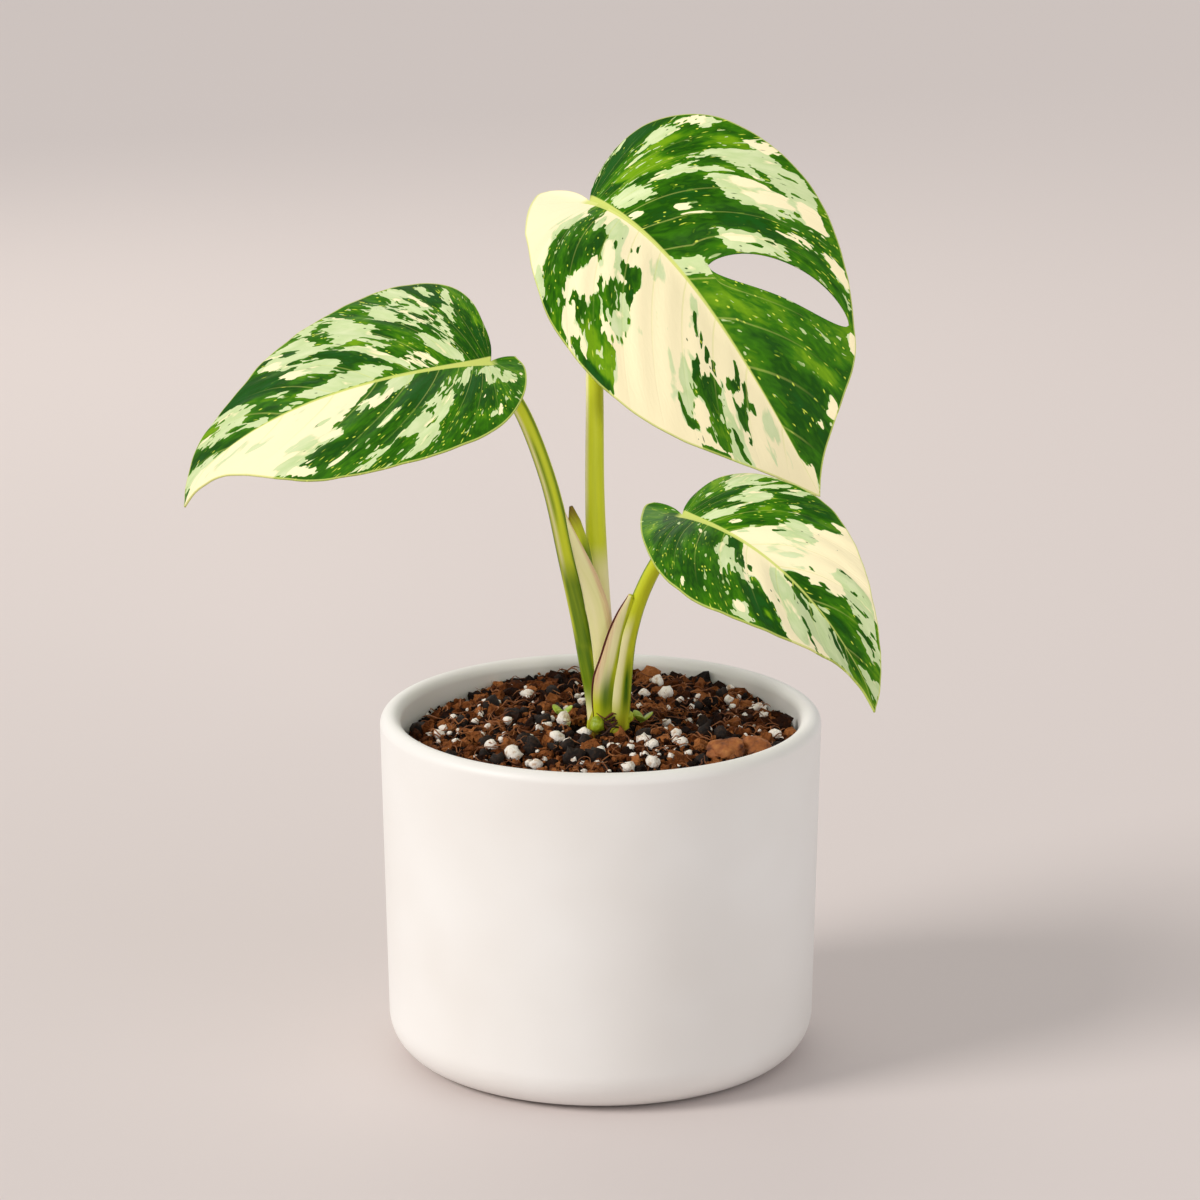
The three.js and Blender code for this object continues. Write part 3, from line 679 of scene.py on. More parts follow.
BLADES = {
    "leaf_left": dict(
        base=(-29.5, -2, 194), heading=188, rise=-4, roll=27, length=98.5, bend=66, early=-1.2, fold=10,
        droop=0.005, sway=-6, lobe_bend=0.42, hook=4, rim_veins=13,
        left=[(-7, -1), (-8.5, 3), (-8.5, 8.5), (-6.5, 16.5), (-1.5, 25), (4, 29.5), (15, 33.5), (28, 35),
              (41, 34), (52, 30.5), (62.5, 23), (69, 17.5), (75, 12.5), (82, 8), (92, 4.5), (98.5, 4)],
        right=[(0.5, 9.5), (0, 15), (2, 25), (6.5, 32), (14.5, 36), (26, 36), (38, 32.5), (50, 28),
               (62.5, 22), (70, 17), (77, 13.5), (85.5, 10.5), (91, 7.5), (95, 4), (98.5, 0), (98.5, -4)],
        opening=None,
    ),
    "leaf_top": dict(
        base=(-3, 15, 234.2), heading=-44, rise=-1, roll=-27, length=106, bend=71, early=4.5, fold=21,
        droop=0.005, sway=-6, lobe_bend=0.22, hook=0, rim_veins=14,
        left=[(-2.5, 9), (-3, 16), (-0.5, 25.5), (5, 33.5), (12, 39.5), (21.5, 43), (33, 45), (45.5, 44),
              (53, 41.6), (62, 38), (70, 33.5), (77, 29.5), (81, 26), (87.5, 17.5), (90.5, 13.5), (98.5, 5),
              (106, 0)],
        right=[(-15.5, -0.5), (-17.2, 1.5), (-14.5, 6.5), (-9.3, 13.5), (-2.5, 21.5), (3.3, 28), (9.3, 35),
               (15.5, 40.5), (21, 44), (30, 46.3), (41.5, 46), (54.5, 42), (66, 35.5), (76.5, 27),
               (87.5, 17), (96, 9), (106, 0)],
        opening=(0.69, 0.15, 0.965, 4.5, 0.14),
    ),
    "leaf_right": dict(
        base=(21.5, -31, 159.2), heading=-35.5, rise=-3.5, roll=-15, length=78, bend=62.5, early=0.5,
        fold=13.5, droop=0.0068, sway=-8.7, lobe_bend=0.38, hook=-1.2, rim_veins=12,
        left=[(-1.3, 8), (-1.6, 11.5), (0, 18.5), (5.4, 24.3), (12.6, 27.2), (24, 28.9), (32, 27),
              (42, 22.4), (53, 16), (65, 9), (74, 3), (78, -1.2)],
        right=[(-10.5, -2.2), (-12, -0.5), (-9.2, 5.6), (-4.8, 12.3), (0, 18), (5.4, 23), (10.2, 26.6),
               (15.2, 28.8), (21.3, 30), (28, 29.7), (38.6, 25.1), (48.3, 18.7), (57.8, 10.5), (63.2, 6),
               (70, 2.6), (78, 1.2)],
        opening=None,
    ),
}

BLADE_THICKNESS = 0.55
CREASE_ROUND = 1.5
MIDRIB_DEPTH = 1.3
MIDRIB_WIDTH = 2.2
MIDRIB_BEHIND = 2
MIDRIB_STEPS = 120
VEIN_POWER = 3.2
VEIN_BOW = 0.1
SINUS_BOW = 0.1
SINUS_REACH = 0.1
RIB_SLANT = 0.6
BOW_GROWS = (0.1, 0.5)
BOW_ENDS = (0.8, 1)
HOOK_FROM = 0.88
OPENING_POWERS = (2.6, 0.6)
SHARED_FOOT = 0.6
LEAF_COLUMNS = 240
LEAF_ROWS = 64
# The rows lie closer together at the two ends of the opening.
ROW_SHARES = (0, 0.13, 0.33, 0.82, 0.93, 1)
ROW_PLACES = (0, 0.14, 0.24, 0.9, 0.97, 1)
VEIN_PITCH = 9
FACE_STEP = 0.1
LEAF_MERGE = 0.05


class Blade:
    """The curved upper face of a leaf, by distance along the midrib and distance out from it."""

    def __init__(self, spec):
        self.spec = spec
        aim, rise, roll = (math.radians(spec[k]) for k in ("heading", "rise", "roll"))
        ahead = np.array([math.cos(rise) * math.cos(aim), math.cos(rise) * math.sin(aim), math.sin(rise)])
        level = np.cross([0, 0, 1], ahead)
        level /= np.linalg.norm(level)
        upright = np.cross(ahead, level)
        self.face = math.cos(roll) * upright + math.sin(roll) * level
        self.left = np.cross(self.face, ahead)
        self.ahead = ahead
        stride = spec["length"] / MIDRIB_STEPS
        tangents = self.turned((np.arange(MIDRIB_STEPS) + 0.5) * stride)[0]
        base = np.array(spec["base"], float)
        self.line = np.vstack([base, base + np.cumsum(tangents * stride, 0)])
        self.far = np.arange(MIDRIB_STEPS + 1) * stride
        self.start = self.turned(np.array([0.0]))[0][0]
        self.rims = {
            1: Route([(s, w, 0) for s, w in spec["left"]]),
            -1: Route([(s, -w, 0) for s, w in spec["right"]]),
        }

    def turned(self, s):
        """Directions along the midrib, to its left and out of the upper face."""
        spec = self.spec
        share = np.asarray(s, float) / spec["length"]
        whole = 1 - math.exp(-spec["early"])
        down = (1 - np.exp(-spec["early"] * np.maximum(share, 0))) / whole
        down = down + spec["lobe_bend"] * np.minimum(share, 0) * spec["early"] / whole
        down = (math.radians(spec["bend"]) * down)[..., None]
        turn = (math.radians(spec["sway"]) * share)[..., None]
        along = np.cos(down) * self.ahead - np.sin(down) * self.face
        up = np.sin(down) * self.ahead + np.cos(down) * self.face
        tangent = np.cos(turn) * along + np.sin(turn) * self.left
        side = np.cos(turn) * self.left - np.sin(turn) * along
        return tangent, side, up

    def surface(self, s, w, lift=0.0):
        _, side, up = self.turned(s)
        rib = np.stack([np.interp(s, self.far, axis) for axis in self.line.T], -1)
        rib = rib + np.minimum(s, 0)[..., None] * self.start
        out = np.hypot(w, CREASE_ROUND) - CREASE_ROUND
        height = out * math.tan(math.radians(self.spec["fold"])) - self.spec["droop"] * out**2 + lift
        return rib + side * w[..., None] + up * height[..., None]

    def upward(self, s, w):
        """Directions out of the upper face."""
        along = self.surface(s + FACE_STEP, w) - self.surface(s - FACE_STEP, w)
        across = self.surface(s, w + FACE_STEP) - self.surface(s, w - FACE_STEP)
        up = np.cross(along, across)
        return up / np.linalg.norm(up, axis=-1, keepdims=True)

    def vein_gap(self, t, v, hand):
        """Distance from one side vein to the next, measured across them."""
        at_rim = self.rims[hand].length
        at_rib = self.spec["length"] * VEIN_POWER * t ** (VEIN_POWER - 1) * RIB_SLANT
        return (at_rim * v + at_rib * (1 - v)) / self.spec["rim_veins"]

    def plan(self, t, v, hand, beyond=False):
        """Where a point lies: t runs along the margin, v runs out along a side vein."""
        spec = self.spec
        rim = self.rims[hand].at(t)[..., :2]
        run = spec["length"] * t**VEIN_POWER
        foot = np.where(run < SHARED_FOOT, 0, run)
        hook = spec["hook"] * smoothstep(foot / spec["length"], HOOK_FROM, 1)
        start = np.stack([foot, hook], -1)
        vein = rim - start
        outward = np.stack([-vein[..., 1], vein[..., 0]], -1) * hand
        bow = VEIN_BOW * between(t, BOW_GROWS, BOW_ENDS)
        bow = bow + SINUS_BOW * (1 - smoothstep(t, 0, SINUS_REACH))
        point = start + vein * v[..., None] + outward * (4 * bow * v * (1 - v))[..., None]
        if spec["opening"] is None or hand < 0:
            return point
        along, low, high, half, reach = spec["opening"]
        inside = 2 * (v - low) / (high - low) - 1
        width = half * np.maximum(1 - np.abs(inside) ** OPENING_POWERS[0], 0) ** OPENING_POWERS[1]
        fade = np.maximum(0, 1 - np.abs(t - along) / reach)
        away = outward / np.maximum(np.linalg.norm(outward, axis=-1, keepdims=True), TINY)
        return point + away * ((-1 if beyond else 1) * width * fade)[..., None]


# The leaf markings. A tissue is (pale share, cream share of the pale, lightness of the green, specks).

TISSUES = {
    # teal: dark green with a painted bluish sheen.
    "teal_sheen": (0.0, 0.0, 0.02, 0.1),
    "dark": (0.02, 0.2, 0.27, 0.35),
    "specked": (0.07, 0.3, 0.42, 1.0),
    "green": (0.07, 0.25, 0.58, 0.5),
    "bright": (0.1, 0.35, 1.0, 0.5),
    "mottled": (0.34, 0.3, 0.5, 0.3),
    "streaky": (0.55, 0.3, 0.35, 0.2),
    "marbled": (0.74, 0.6, 0.5, 0.35),
    "sage": (1.0, 0.15, 0.6, 0.14),
    "smudge": (1.1, 0.62, 0.6, 0.0),
    "cream": (1.1, 1.1, 0.6, 0.0),
}

# A patch lies between two places along the margin and two on the way out to it, in hundredths, later ones
# on top. A last number says how far it leans along the margin on its way out.
MARKINGS = {
    ("leaf_top", 1): [
        ("teal_sheen", 0, 21, 0, 100), ("streaky", 0, 6, 35, 100), ("sage", 6.5, 9, 76, 98),
        ("dark", 3, 12, 6, 20), ("green", 19, 30, 5, 46), ("bright", 27, 38, 12, 42),
        ("teal_sheen", 27, 35, 6, 18), ("sage", 24.5, 26, 30, 43), ("specked", 16, 37, 46, 100),
        ("bright", 23.5, 28, 48, 70), ("dark", 28, 34, 48, 68), ("bright", 30, 35, 72, 84),
        ("sage", 17.8, 23.5, 58, 82), ("sage", 20, 23, 46, 62), ("marbled", 20, 26, 84, 98),
        ("cream", 33, 37, 86, 99), ("sage", 39.5, 51, 3, 20, 5), ("sage", 41.5, 45, 12, 48, -5),
        ("sage", 35.5, 55, 44, 97), ("cream", 45, 49, 55, 68), ("dark", 38, 41.5, 15, 29),
        ("green", 37, 40, 41, 46), ("green", 36.5, 38.5, 52, 60), ("dark", 38.5, 42.5, 47, 64),
        ("green", 41.5, 45, 55, 65, 2), ("dark", 43.5, 49, 19, 41), ("teal_sheen", 48, 53, 22, 46),
        ("green", 45, 46.5, 44, 70, 3), ("green", 42, 46.5, 70, 77), ("green", 46.5, 50, 68, 76),
        ("green", 50, 53.5, 70, 80), ("green", 36.5, 41, 89, 98), ("green", 43, 44, 84, 91),
        ("green", 47, 48, 82, 90), ("cream", 49.5, 52.5, 58, 76), ("cream", 48.5, 54, 81, 95),
        ("dark", 48, 68, 0, 30), ("dark", 54.5, 68, 28, 64), ("specked", 54.5, 68, 62, 100),
        ("green", 48, 54, 94, 100), ("teal_sheen", 57.5, 62, 34, 56), ("cream", 53.3, 55.2, 20, 28),
        ("cream", 56, 57.2, 21, 31), ("cream", 51, 53, 2, 7), ("cream", 59, 60.4, 69, 77),
        ("cream", 60.8, 61.8, 63, 71), ("cream", 59, 62.5, 87, 99), ("sage", 63, 68.5, 24, 58, 1),
        ("cream", 64.5, 66, 28, 40), ("dark", 66.3, 67.2, 37, 45), ("dark", 64.3, 65.3, 47, 53),
        ("sage", 66.3, 72, 0, 14), ("green", 70.5, 100, 0, 100), ("dark", 77, 95, 18, 100),
        ("bright", 73.5, 77, 6, 34), ("green", 72, 77, 34, 80), ("bright", 79, 82, 50, 90),
        ("cream", 83.3, 86.6, 88, 99.5, 1), ("cream", 88.4, 89.4, 77, 87), ("cream", 70, 73.5, 95, 100),
        ("cream", 96, 100, 0, 75),
    ],
    ("leaf_top", -1): [
        ("cream", 0, 100, 0, 100), ("smudge", 26, 37, 8, 76, -5), ("sage", 30, 37, 15, 60, -4),
        ("sage", 30, 36, 84, 100), ("green", 33, 43, 0, 11), ("specked", 35.5, 44.5, 8, 52, -5),
        ("specked", 32.3, 43, 38, 92), ("green", 35.5, 42.5, 80, 100), ("teal_sheen", 34.5, 37.5, 94, 100),
        ("dark", 43, 51.5, 11, 42, -4), ("dark", 41, 46.8, 36, 66, -4), ("sage", 43.8, 46.5, 3, 20),
        ("sage", 47.5, 55, 2, 19), ("sage", 50.5, 56, 14, 52, 1), ("cream", 51, 53.5, 20, 34),
        ("marbled", 42, 50, 62, 100), ("specked", 48, 54.5, 38, 76, -7), ("bright", 47.5, 54.5, 72, 97),
        ("cream", 44.5, 50.5, 36, 74, -9), ("dark", 43.8, 47, 62, 77, -3), ("dark", 44.3, 45.5, 73, 81),
        ("cream", 41.8, 44.3, 74, 92, -1), ("cream", 46.5, 48, 80, 95), ("green", 45, 46.5, 88, 98),
        ("teal_sheen", 46.5, 53, 94, 100), ("dark", 51, 52, 42, 50, -1), ("dark", 59, 61.3, 20, 34, -1),
        ("dark", 56, 59.5, 27, 36), ("dark", 57.5, 60, 33, 47, -2), ("streaky", 53.5, 59, 46, 70, -3),
        ("sage", 55, 58, 55, 68, -2), ("dark", 58.6, 59.4, 9, 15), ("dark", 52.2, 53.5, 13, 19),
        ("dark", 55.4, 56.3, 22, 31), ("dark", 57.1, 57.9, 15, 19), ("smudge", 60.5, 62.3, 35, 62),
        ("smudge", 62, 67, 3, 27), ("smudge", 67, 70, 42, 78, -2), ("smudge", 63, 66, 30, 52),
        ("sage", 69.8, 73.8, 38, 90, -2), ("sage", 72.5, 74.8, 4, 24), ("dark", 73.4, 74.2, 14, 24),
        ("dark", 76, 77.6, 23, 35), ("dark", 78.2, 79.4, 28, 40), ("dark", 74.8, 75.8, 22, 30),
        ("teal_sheen", 72.8, 75, 38, 60, -1), ("green", 73, 77, 56, 82, -1), ("dark", 75, 78, 43, 68, -2),
        ("dark", 77.5, 80.4, 47, 62), ("dark", 76.6, 79.8, 60, 73, -1), ("sage", 79, 84, 56, 100),
        ("green", 74, 80, 72, 95), ("cream", 73, 76, 70, 88, -1), ("dark", 69, 70.5, 72, 88, 1),
        ("dark", 70, 72.8, 84.5, 90), ("green", 72.5, 78.5, 96.5, 100), ("dark", 82.8, 84.3, 13, 29),
        ("dark", 81.6, 83.3, 24, 42, -1.5), ("dark", 84.7, 86, 15, 37), ("dark", 84, 85.9, 37, 59, -1),
        ("dark", 82.7, 84.5, 48, 66, 1), ("dark", 86.1, 87, 29, 43), ("dark", 80, 80.8, 39, 49),
        ("dark", 81, 82.5, 73, 85, 1), ("dark", 81.9, 83, 84, 98, 0.6), ("dark", 84.5, 85.3, 69, 78),
        ("smudge", 87.5, 95, 10, 90),
    ],
    ("leaf_left", 1): [
        ("specked", 14, 64, 40, 100), ("green", 0, 12, 0, 100), ("sage", 16, 34, 7, 21),
        ("sage", 11, 28, 14, 36, -4), ("sage", 9.3, 18, 30, 58, -3), ("sage", 9.8, 13.5, 48, 74, -1),
        ("green", 10, 14.5, 32, 42), ("green", 20, 23, 24, 30), ("teal_sheen", 29.5, 43, 15, 42),
        ("dark", 22, 38, 36, 66), ("green", 34, 40, 2, 14), ("cream", 21.3, 23, 74, 85),
        ("cream", 28, 29.2, 45, 50), ("sage", 23.6, 24.6, 74, 81), ("cream", 7, 7.8, 79, 86),
        ("green", 4, 6, 46, 62), ("sage", 39.5, 44, 3, 23, 1), ("green", 40, 45, 24, 64),
        ("streaky", 44, 51.5, 10, 66, 1), ("sage", 42, 46.7, 29, 46, -1), ("sage", 42.3, 44.6, 42, 64),
        ("sage", 47.5, 51, 48, 66, -1), ("sage", 41.3, 45.7, 60, 82, -1.5), ("sage", 40.6, 44, 76, 96),
        ("dark", 42, 43.3, 33, 37), ("specked", 45, 52, 66, 92), ("sage", 50.5, 53.7, 73, 95, -1),
        ("green", 52, 53.4, 80, 91), ("teal_sheen", 51.5, 60.5, 2, 34), ("dark", 51.5, 58, 34, 66),
        ("sage", 57.8, 59.7, 36, 55, -1), ("cream", 58.4, 59.2, 42, 52), ("cream", 59.4, 60.7, 71, 87),
        ("bright", 60.3, 61.2, 15, 26), ("dark", 60.5, 70.3, 0, 52), ("dark", 60.5, 66, 50, 100),
        ("green", 63.5, 66, 40, 54), ("sage", 61, 66, 0, 13), ("cream", 64, 65.7, 10, 31, 1),
        ("cream", 65.9, 68.7, 15, 27), ("sage", 67, 68.6, 24, 34), ("cream", 69.7, 100, 0, 100),
        ("sage", 65.8, 72, 53, 97), ("cream", 65.8, 70, 54, 62), ("cream", 62.3, 68, 88, 97),
        ("dark", 64, 68.2, 64, 82), ("dark", 63, 65.5, 78, 88), ("dark", 66.2, 67.1, 84, 88.5),
        ("dark", 67.5, 70.2, 3, 22), ("smudge", 70.5, 75.5, 2, 32), ("sage", 72.4, 74, 36, 48),
        ("smudge", 71.5, 74.5, 55, 88, 1), ("smudge", 80, 90, 4, 66, 4), ("smudge", 86, 94, 40, 80),
    ],
    ("leaf_left", -1): [
        ("dark", 0, 45, 0, 64), ("teal_sheen", 11, 21, 20, 60), ("green", 0, 22, 60, 100),
        ("bright", 12, 17, 46, 66, -4), ("specked", 22, 34, 40, 62), ("teal_sheen", 22.5, 31, 56, 100),
        ("sage", 27.5, 29.7, 42, 58, -1.5), ("sage", 24.6, 28, 52, 64, -3),
        ("sage", 21.2, 24, 64, 88, -2), ("sage", 26, 28.6, 78, 95), ("dark", 29.5, 32, 40, 98),
        ("streaky", 34, 41, 18, 52, -6), ("dark", 35, 39, 12, 24), ("sage", 31.2, 36.5, 56, 98),
        ("cream", 31.6, 33.6, 64, 82), ("green", 33, 35, 66, 81, -0.5), ("sage", 35, 38.5, 54, 74),
        ("streaky", 37, 47.5, 38, 82, -7), ("specked", 37, 48, 78, 100), ("sage", 42, 45.8, 60, 83, -4),
        ("sage", 40.8, 48, 4, 20, 2), ("sage", 43.5, 49.7, 12, 30, 1), ("sage", 45, 48, 26, 35, 1),
        ("dark", 45.5, 55, 34, 64, 2), ("green", 48, 52, 35, 50), ("green", 49.5, 54, 3, 36, 2),
        ("streaky", 53, 62, 3, 22, 3), ("cream", 52.8, 54.6, 4, 15, 2), ("specked", 55.5, 61, 20, 42),
        ("sage", 60.4, 62.6, 8, 54, 2), ("sage", 56.8, 58.6, 34, 50), ("bright", 58.6, 61.6, 40, 54),
        ("teal_sheen", 63, 70, 18, 58), ("sage", 54.4, 56, 40, 60), ("sage", 51, 62.5, 54, 76),
        ("sage", 49, 57, 68, 99, -2), ("sage", 58, 70, 60, 99, -4), ("specked", 55.8, 60, 67, 90, -4),
        ("green", 50.6, 54, 82, 93), ("dark", 62.4, 64.8, 76, 89, -1), ("green", 57.5, 61, 94, 100),
        ("dark", 64, 66.5, 92, 100), ("cream", 66, 69, 78, 92), ("sage", 64.3, 68.2, 8, 20),
        ("sage", 67.5, 80.3, 2, 20), ("dark", 71, 84.5, 19, 34), ("sage", 67.3, 73.4, 31, 57),
        ("cream", 72, 74.8, 42, 60), ("sage", 78, 81.2, 29, 47), ("dark", 66.7, 68.4, 62, 72),
        ("dark", 69, 71, 58, 68), ("dark", 65.7, 66.8, 56, 61), ("dark", 69, 73.2, 64, 92, -2.5),
        ("teal_sheen", 71.8, 81.3, 50, 100, -4), ("dark", 75.3, 80, 32, 56), ("green", 80.5, 92, 0, 100),
        ("sage", 80.6, 84, 40, 99, -4), ("sage", 81.8, 84.2, 3, 14), ("sage", 84.6, 89.4, 26, 80, -2),
        ("bright", 84.4, 86.6, 64, 99, -2), ("sage", 86.6, 88.4, 4, 30), ("sage", 86.5, 88.5, 70, 96, -2),
        ("dark", 82, 85.6, 12, 42), ("green", 87, 88.4, 24, 44), ("dark", 89.6, 92.6, 0, 100),
        ("sage", 92.8, 96, 0, 100), ("cream", 95, 100, 0, 60),
    ],
    ("leaf_right", 1): [
        ("green", 0, 20, 0, 100), ("sage", 15.5, 20, 38, 46), ("bright", 10.5, 15, 58, 88, -3),
        ("dark", 22, 42, 7, 60), ("sage", 41, 50, 3, 18), ("sage", 43.5, 48.5, 12, 35),
        ("dark", 41.3, 44.4, 21, 28), ("dark", 40.6, 44.2, 31, 38), ("sage", 16, 28, 64, 100, -2),
        ("sage", 19.8, 24.5, 54, 70), ("green", 23.5, 26.5, 80, 98), ("dark", 24.4, 28, 58, 68, 2),
        ("sage", 35, 44.7, 33, 50, -1), ("sage", 31.3, 42.6, 46, 62, -2),
        ("sage", 29.8, 36.5, 58, 76, -2), ("sage", 29.3, 33, 72, 93, -1), ("cream", 33, 36, 52, 62),
        ("green", 35, 37.5, 43, 47), ("dark", 39.8, 43.4, 29, 37), ("dark", 36.5, 53.8, 62, 98, -5),
        ("specked", 43.8, 54, 24, 62, -3), ("bright", 47, 51, 36, 50), ("dark", 31.8, 37.6, 66, 83),
        ("sage", 33.8, 36.6, 82, 98, -1), ("sage", 36, 38, 72, 88), ("sage", 45.5, 48.5, 60, 69, -2),
        ("green", 48, 58.5, 2, 20, 2), ("dark", 53, 58.8, 16, 42, 1.5), ("cream", 52.4, 54.8, 10, 18),
        ("cream", 58.8, 79, 0, 100), ("cream", 55, 72, 43, 100), ("cream", 48, 60, 86, 100),
        ("green", 49.3, 53.4, 74, 90), ("sage", 57, 65.3, 29, 63, -3), ("sage", 54.4, 57, 44, 63),
        ("smudge", 65, 71, 4, 49), ("smudge", 72.6, 77, 2, 62), ("dark", 60, 61.1, 27, 38),
        ("sage", 59.3, 61.1, 6, 13), ("green", 54, 55.2, 58, 64), ("green", 73.1, 74, 30, 35),
        ("sage", 68.6, 84, 57, 99), ("dark", 69, 70, 68, 76, -0.7), ("dark", 68.7, 69.5, 77, 82),
        ("dark", 73.7, 74.7, 66, 77), ("dark", 78.2, 79, 52, 60), ("dark", 78.2, 79.3, 63, 76),
        ("dark", 77.5, 78.3, 76, 85), ("dark", 81.5, 82.5, 60, 71), ("dark", 81.3, 82.6, 82, 91),
        ("dark", 77.6, 78.8, 32, 39), ("dark", 76.9, 77.7, 17, 23), ("dark", 76, 79.8, 0, 17),
        ("dark", 79.8, 86, 0, 26), ("dark", 79, 84, 20, 46), ("green", 82.5, 89.5, 24, 64, 2),
        ("sage", 84, 86, 3, 16), ("teal_sheen", 86, 89.4, 4, 34), ("green", 88.2, 93.4, 20, 100),
        ("sage", 84, 88.7, 60, 97), ("dark", 83.4, 86, 62, 83, 0.5), ("dark", 86.2, 87.6, 78, 85),
        ("green", 76, 84, 94, 99), ("sage", 93.2, 96.5, 10, 100), ("dark", 91, 93, 0, 40),
    ],
    ("leaf_right", -1): [
        ("green", 0, 100, 0, 100), ("dark", 4, 47, 3, 46), ("dark", 22, 47, 40, 84),
        ("sage", 30.5, 34.3, 19, 23.5), ("sage", 10, 13, 32, 34.5), ("bright", 18.5, 21.7, 60, 88),
        ("specked", 33, 43, 55, 98), ("specked", 46, 58.5, 8, 98), ("dark", 44, 50, 66, 90),
        ("cream", 44.3, 45.3, 80, 92, -0.5), ("cream", 47.6, 49.6, 12, 17), ("dark", 52, 58, 2, 30),
        ("sage", 57.6, 62, 15, 44), ("sage", 58.8, 61, 3, 14), ("teal_sheen", 60.6, 65.3, 2, 20),
        ("teal_sheen", 63, 66.6, 22, 36), ("streaky", 61.5, 66, 28, 60), ("sage", 61, 62.6, 16, 32),
        ("cream", 65.6, 79, 0, 100), ("dark", 66.6, 68.1, 22, 30), ("green", 67, 69.6, 40, 52),
        ("specked", 57.8, 66, 46, 78), ("sage", 57.6, 59, 44, 56), ("dark", 64, 72, 52, 100),
        ("teal_sheen", 64.6, 71, 56, 94), ("bright", 67.3, 69.3, 72, 82), ("sage", 59.2, 62.6, 78, 97, -1),
        ("cream", 60, 62, 80, 90), ("sage", 58, 64, 92, 97), ("sage", 72.5, 79, 2, 62),
        ("sage", 74.5, 79, 56, 98), ("dark", 73.6, 74.4, 43, 50), ("green", 71, 72.3, 76, 82),
        ("sage", 79, 93, 3, 98), ("cream", 79.8, 83, 76, 97), ("dark", 79.4, 80.6, 51, 67),
        ("dark", 79.4, 80.6, 69, 77), ("dark", 79.3, 80.3, 82, 95), ("dark", 77, 84, 0, 7),
        ("dark", 79.8, 82.6, 8, 27, 1.5), ("dark", 82.9, 84, 12, 23), ("dark", 82.8, 83.6, 28, 34),
        ("teal_sheen", 87.4, 89.7, 8, 58), ("dark", 90, 96, 0, 66), ("green", 90.5, 96, 60, 96),
        ("bright", 95.6, 100, 0, 100),
    ],
}
HUNDREDTH = 0.01
PATCH_SQUARE = 3.2
PATCH_SOFT = 0.01
PATCH_SOFTEST = 0.55
GREEN_SOFT = 0.03
# Edges wander by these shares of the leaf, in waves along and outwards, and not at the midrib or margin.
PATCH_WANDER_T = 0.008
PATCH_WANDER_V = 0.06
WANDERS = ((30, 5), (90, 16))
STEADY_ENDS = ((0.02, 0.2), (0.8, 0.98))
# Where the face is quilted between its sunk veins: outwards, along, and for which gap between the veins.
QUILT_OUTWARD = ((0, 0.12), (0.75, 1))
QUILT_ALONG = ((0.16, 0.42), (0.85, 0.97))
QUILT_GAP = (1.5, 8)
# Where the margin waves, how many waves it has, where they start and how strong the short ones are.
WAVE_OUTWARD = (0.55, 1)
WAVE_ALONG = ((0.18, 0.3), (0.88, 0.98))
WAVES = (9.3, 17.1)
WAVE_START = 1.7
SHORT_WAVE = 0.6
# The attribute "where" holds distances in this unit, and adds this to the share along on the lower face.
WHERE_UNIT = 20
LOWER_FACE = 2


def patch_cover(patch, t, v):
    """How much of each point a rounded patch covers: for its paleness, then for its shade of green."""
    t_from, t_to, v_from, v_to, *lean = (value * HUNDREDTH for value in patch)
    t_half, v_half = (t_to - t_from) / 2, (v_to - v_from) / 2
    off_v = (v - v_from) / v_half - 1
    off_t = (t - t_from - sum(lean) * off_v / 2) / t_half - 1
    for off, low, high in ((off_t, t_from, t_to), (off_v, v_from, v_to)):
        off[(off < 0) & (low <= 0) | (off > 0) & (high >= 1)] = 0
    reach = (np.abs(off_t) ** PATCH_SQUARE + np.abs(off_v) ** PATCH_SQUARE) ** (1 / PATCH_SQUARE)
    covers = []
    for soft, softest in ((PATCH_SOFT, PATCH_SOFTEST), (GREEN_SOFT, 1)):
        soft = min(soft / t_half, softest)
        covers += [1 - smoothstep(reach, 1 - soft, 1 + soft)] * 2
    return np.stack(covers, 1)


def paint_tissue(patches, t, v, seed):
    """The tissue at each point, laid on patch by patch with wandering edges."""
    wander = 0
    for k, (along, out) in enumerate(WANDERS):
        places = [Vector((a * along, b * out, seed)) for a, b in zip(t, v)]
        wander = wander + np.array([noise.noise_vector(place)[:2] for place in places]) / (k + 1)
    inside = between(v, *STEADY_ENDS)
    t = t + PATCH_WANDER_T * wander[:, 0]
    v = v + PATCH_WANDER_V * wander[:, 1] * inside
    tissue = np.tile(TISSUES["green"], (len(t), 1)).astype(float)
    for kind, *patch in patches:
        tissue += (np.array(TISSUES[kind]) - tissue) * patch_cover(patch, t, v)
    return tissue


def leaf_relief(t, v, veins, gap, leaf):
    """How far the upper face lies above its plain form: sunk veins and a waved margin."""
    inner = between(v, *QUILT_OUTWARD) * between(t, *QUILT_ALONG) * smoothstep(gap, *QUILT_GAP)
    quilt = -leaf.groove / MM * (1 + np.cos(math.tau * veins * t)) * inner
    margin = smoothstep(v, *WAVE_OUTWARD) * between(t, *WAVE_ALONG)
    ripple = np.sin(math.tau * t * WAVES[0] + WAVE_START) + SHORT_WAVE * np.sin(math.tau * t * WAVES[1])
    return quilt + leaf.wave / MM * margin * (ripple - (1 + SHORT_WAVE)) / 2


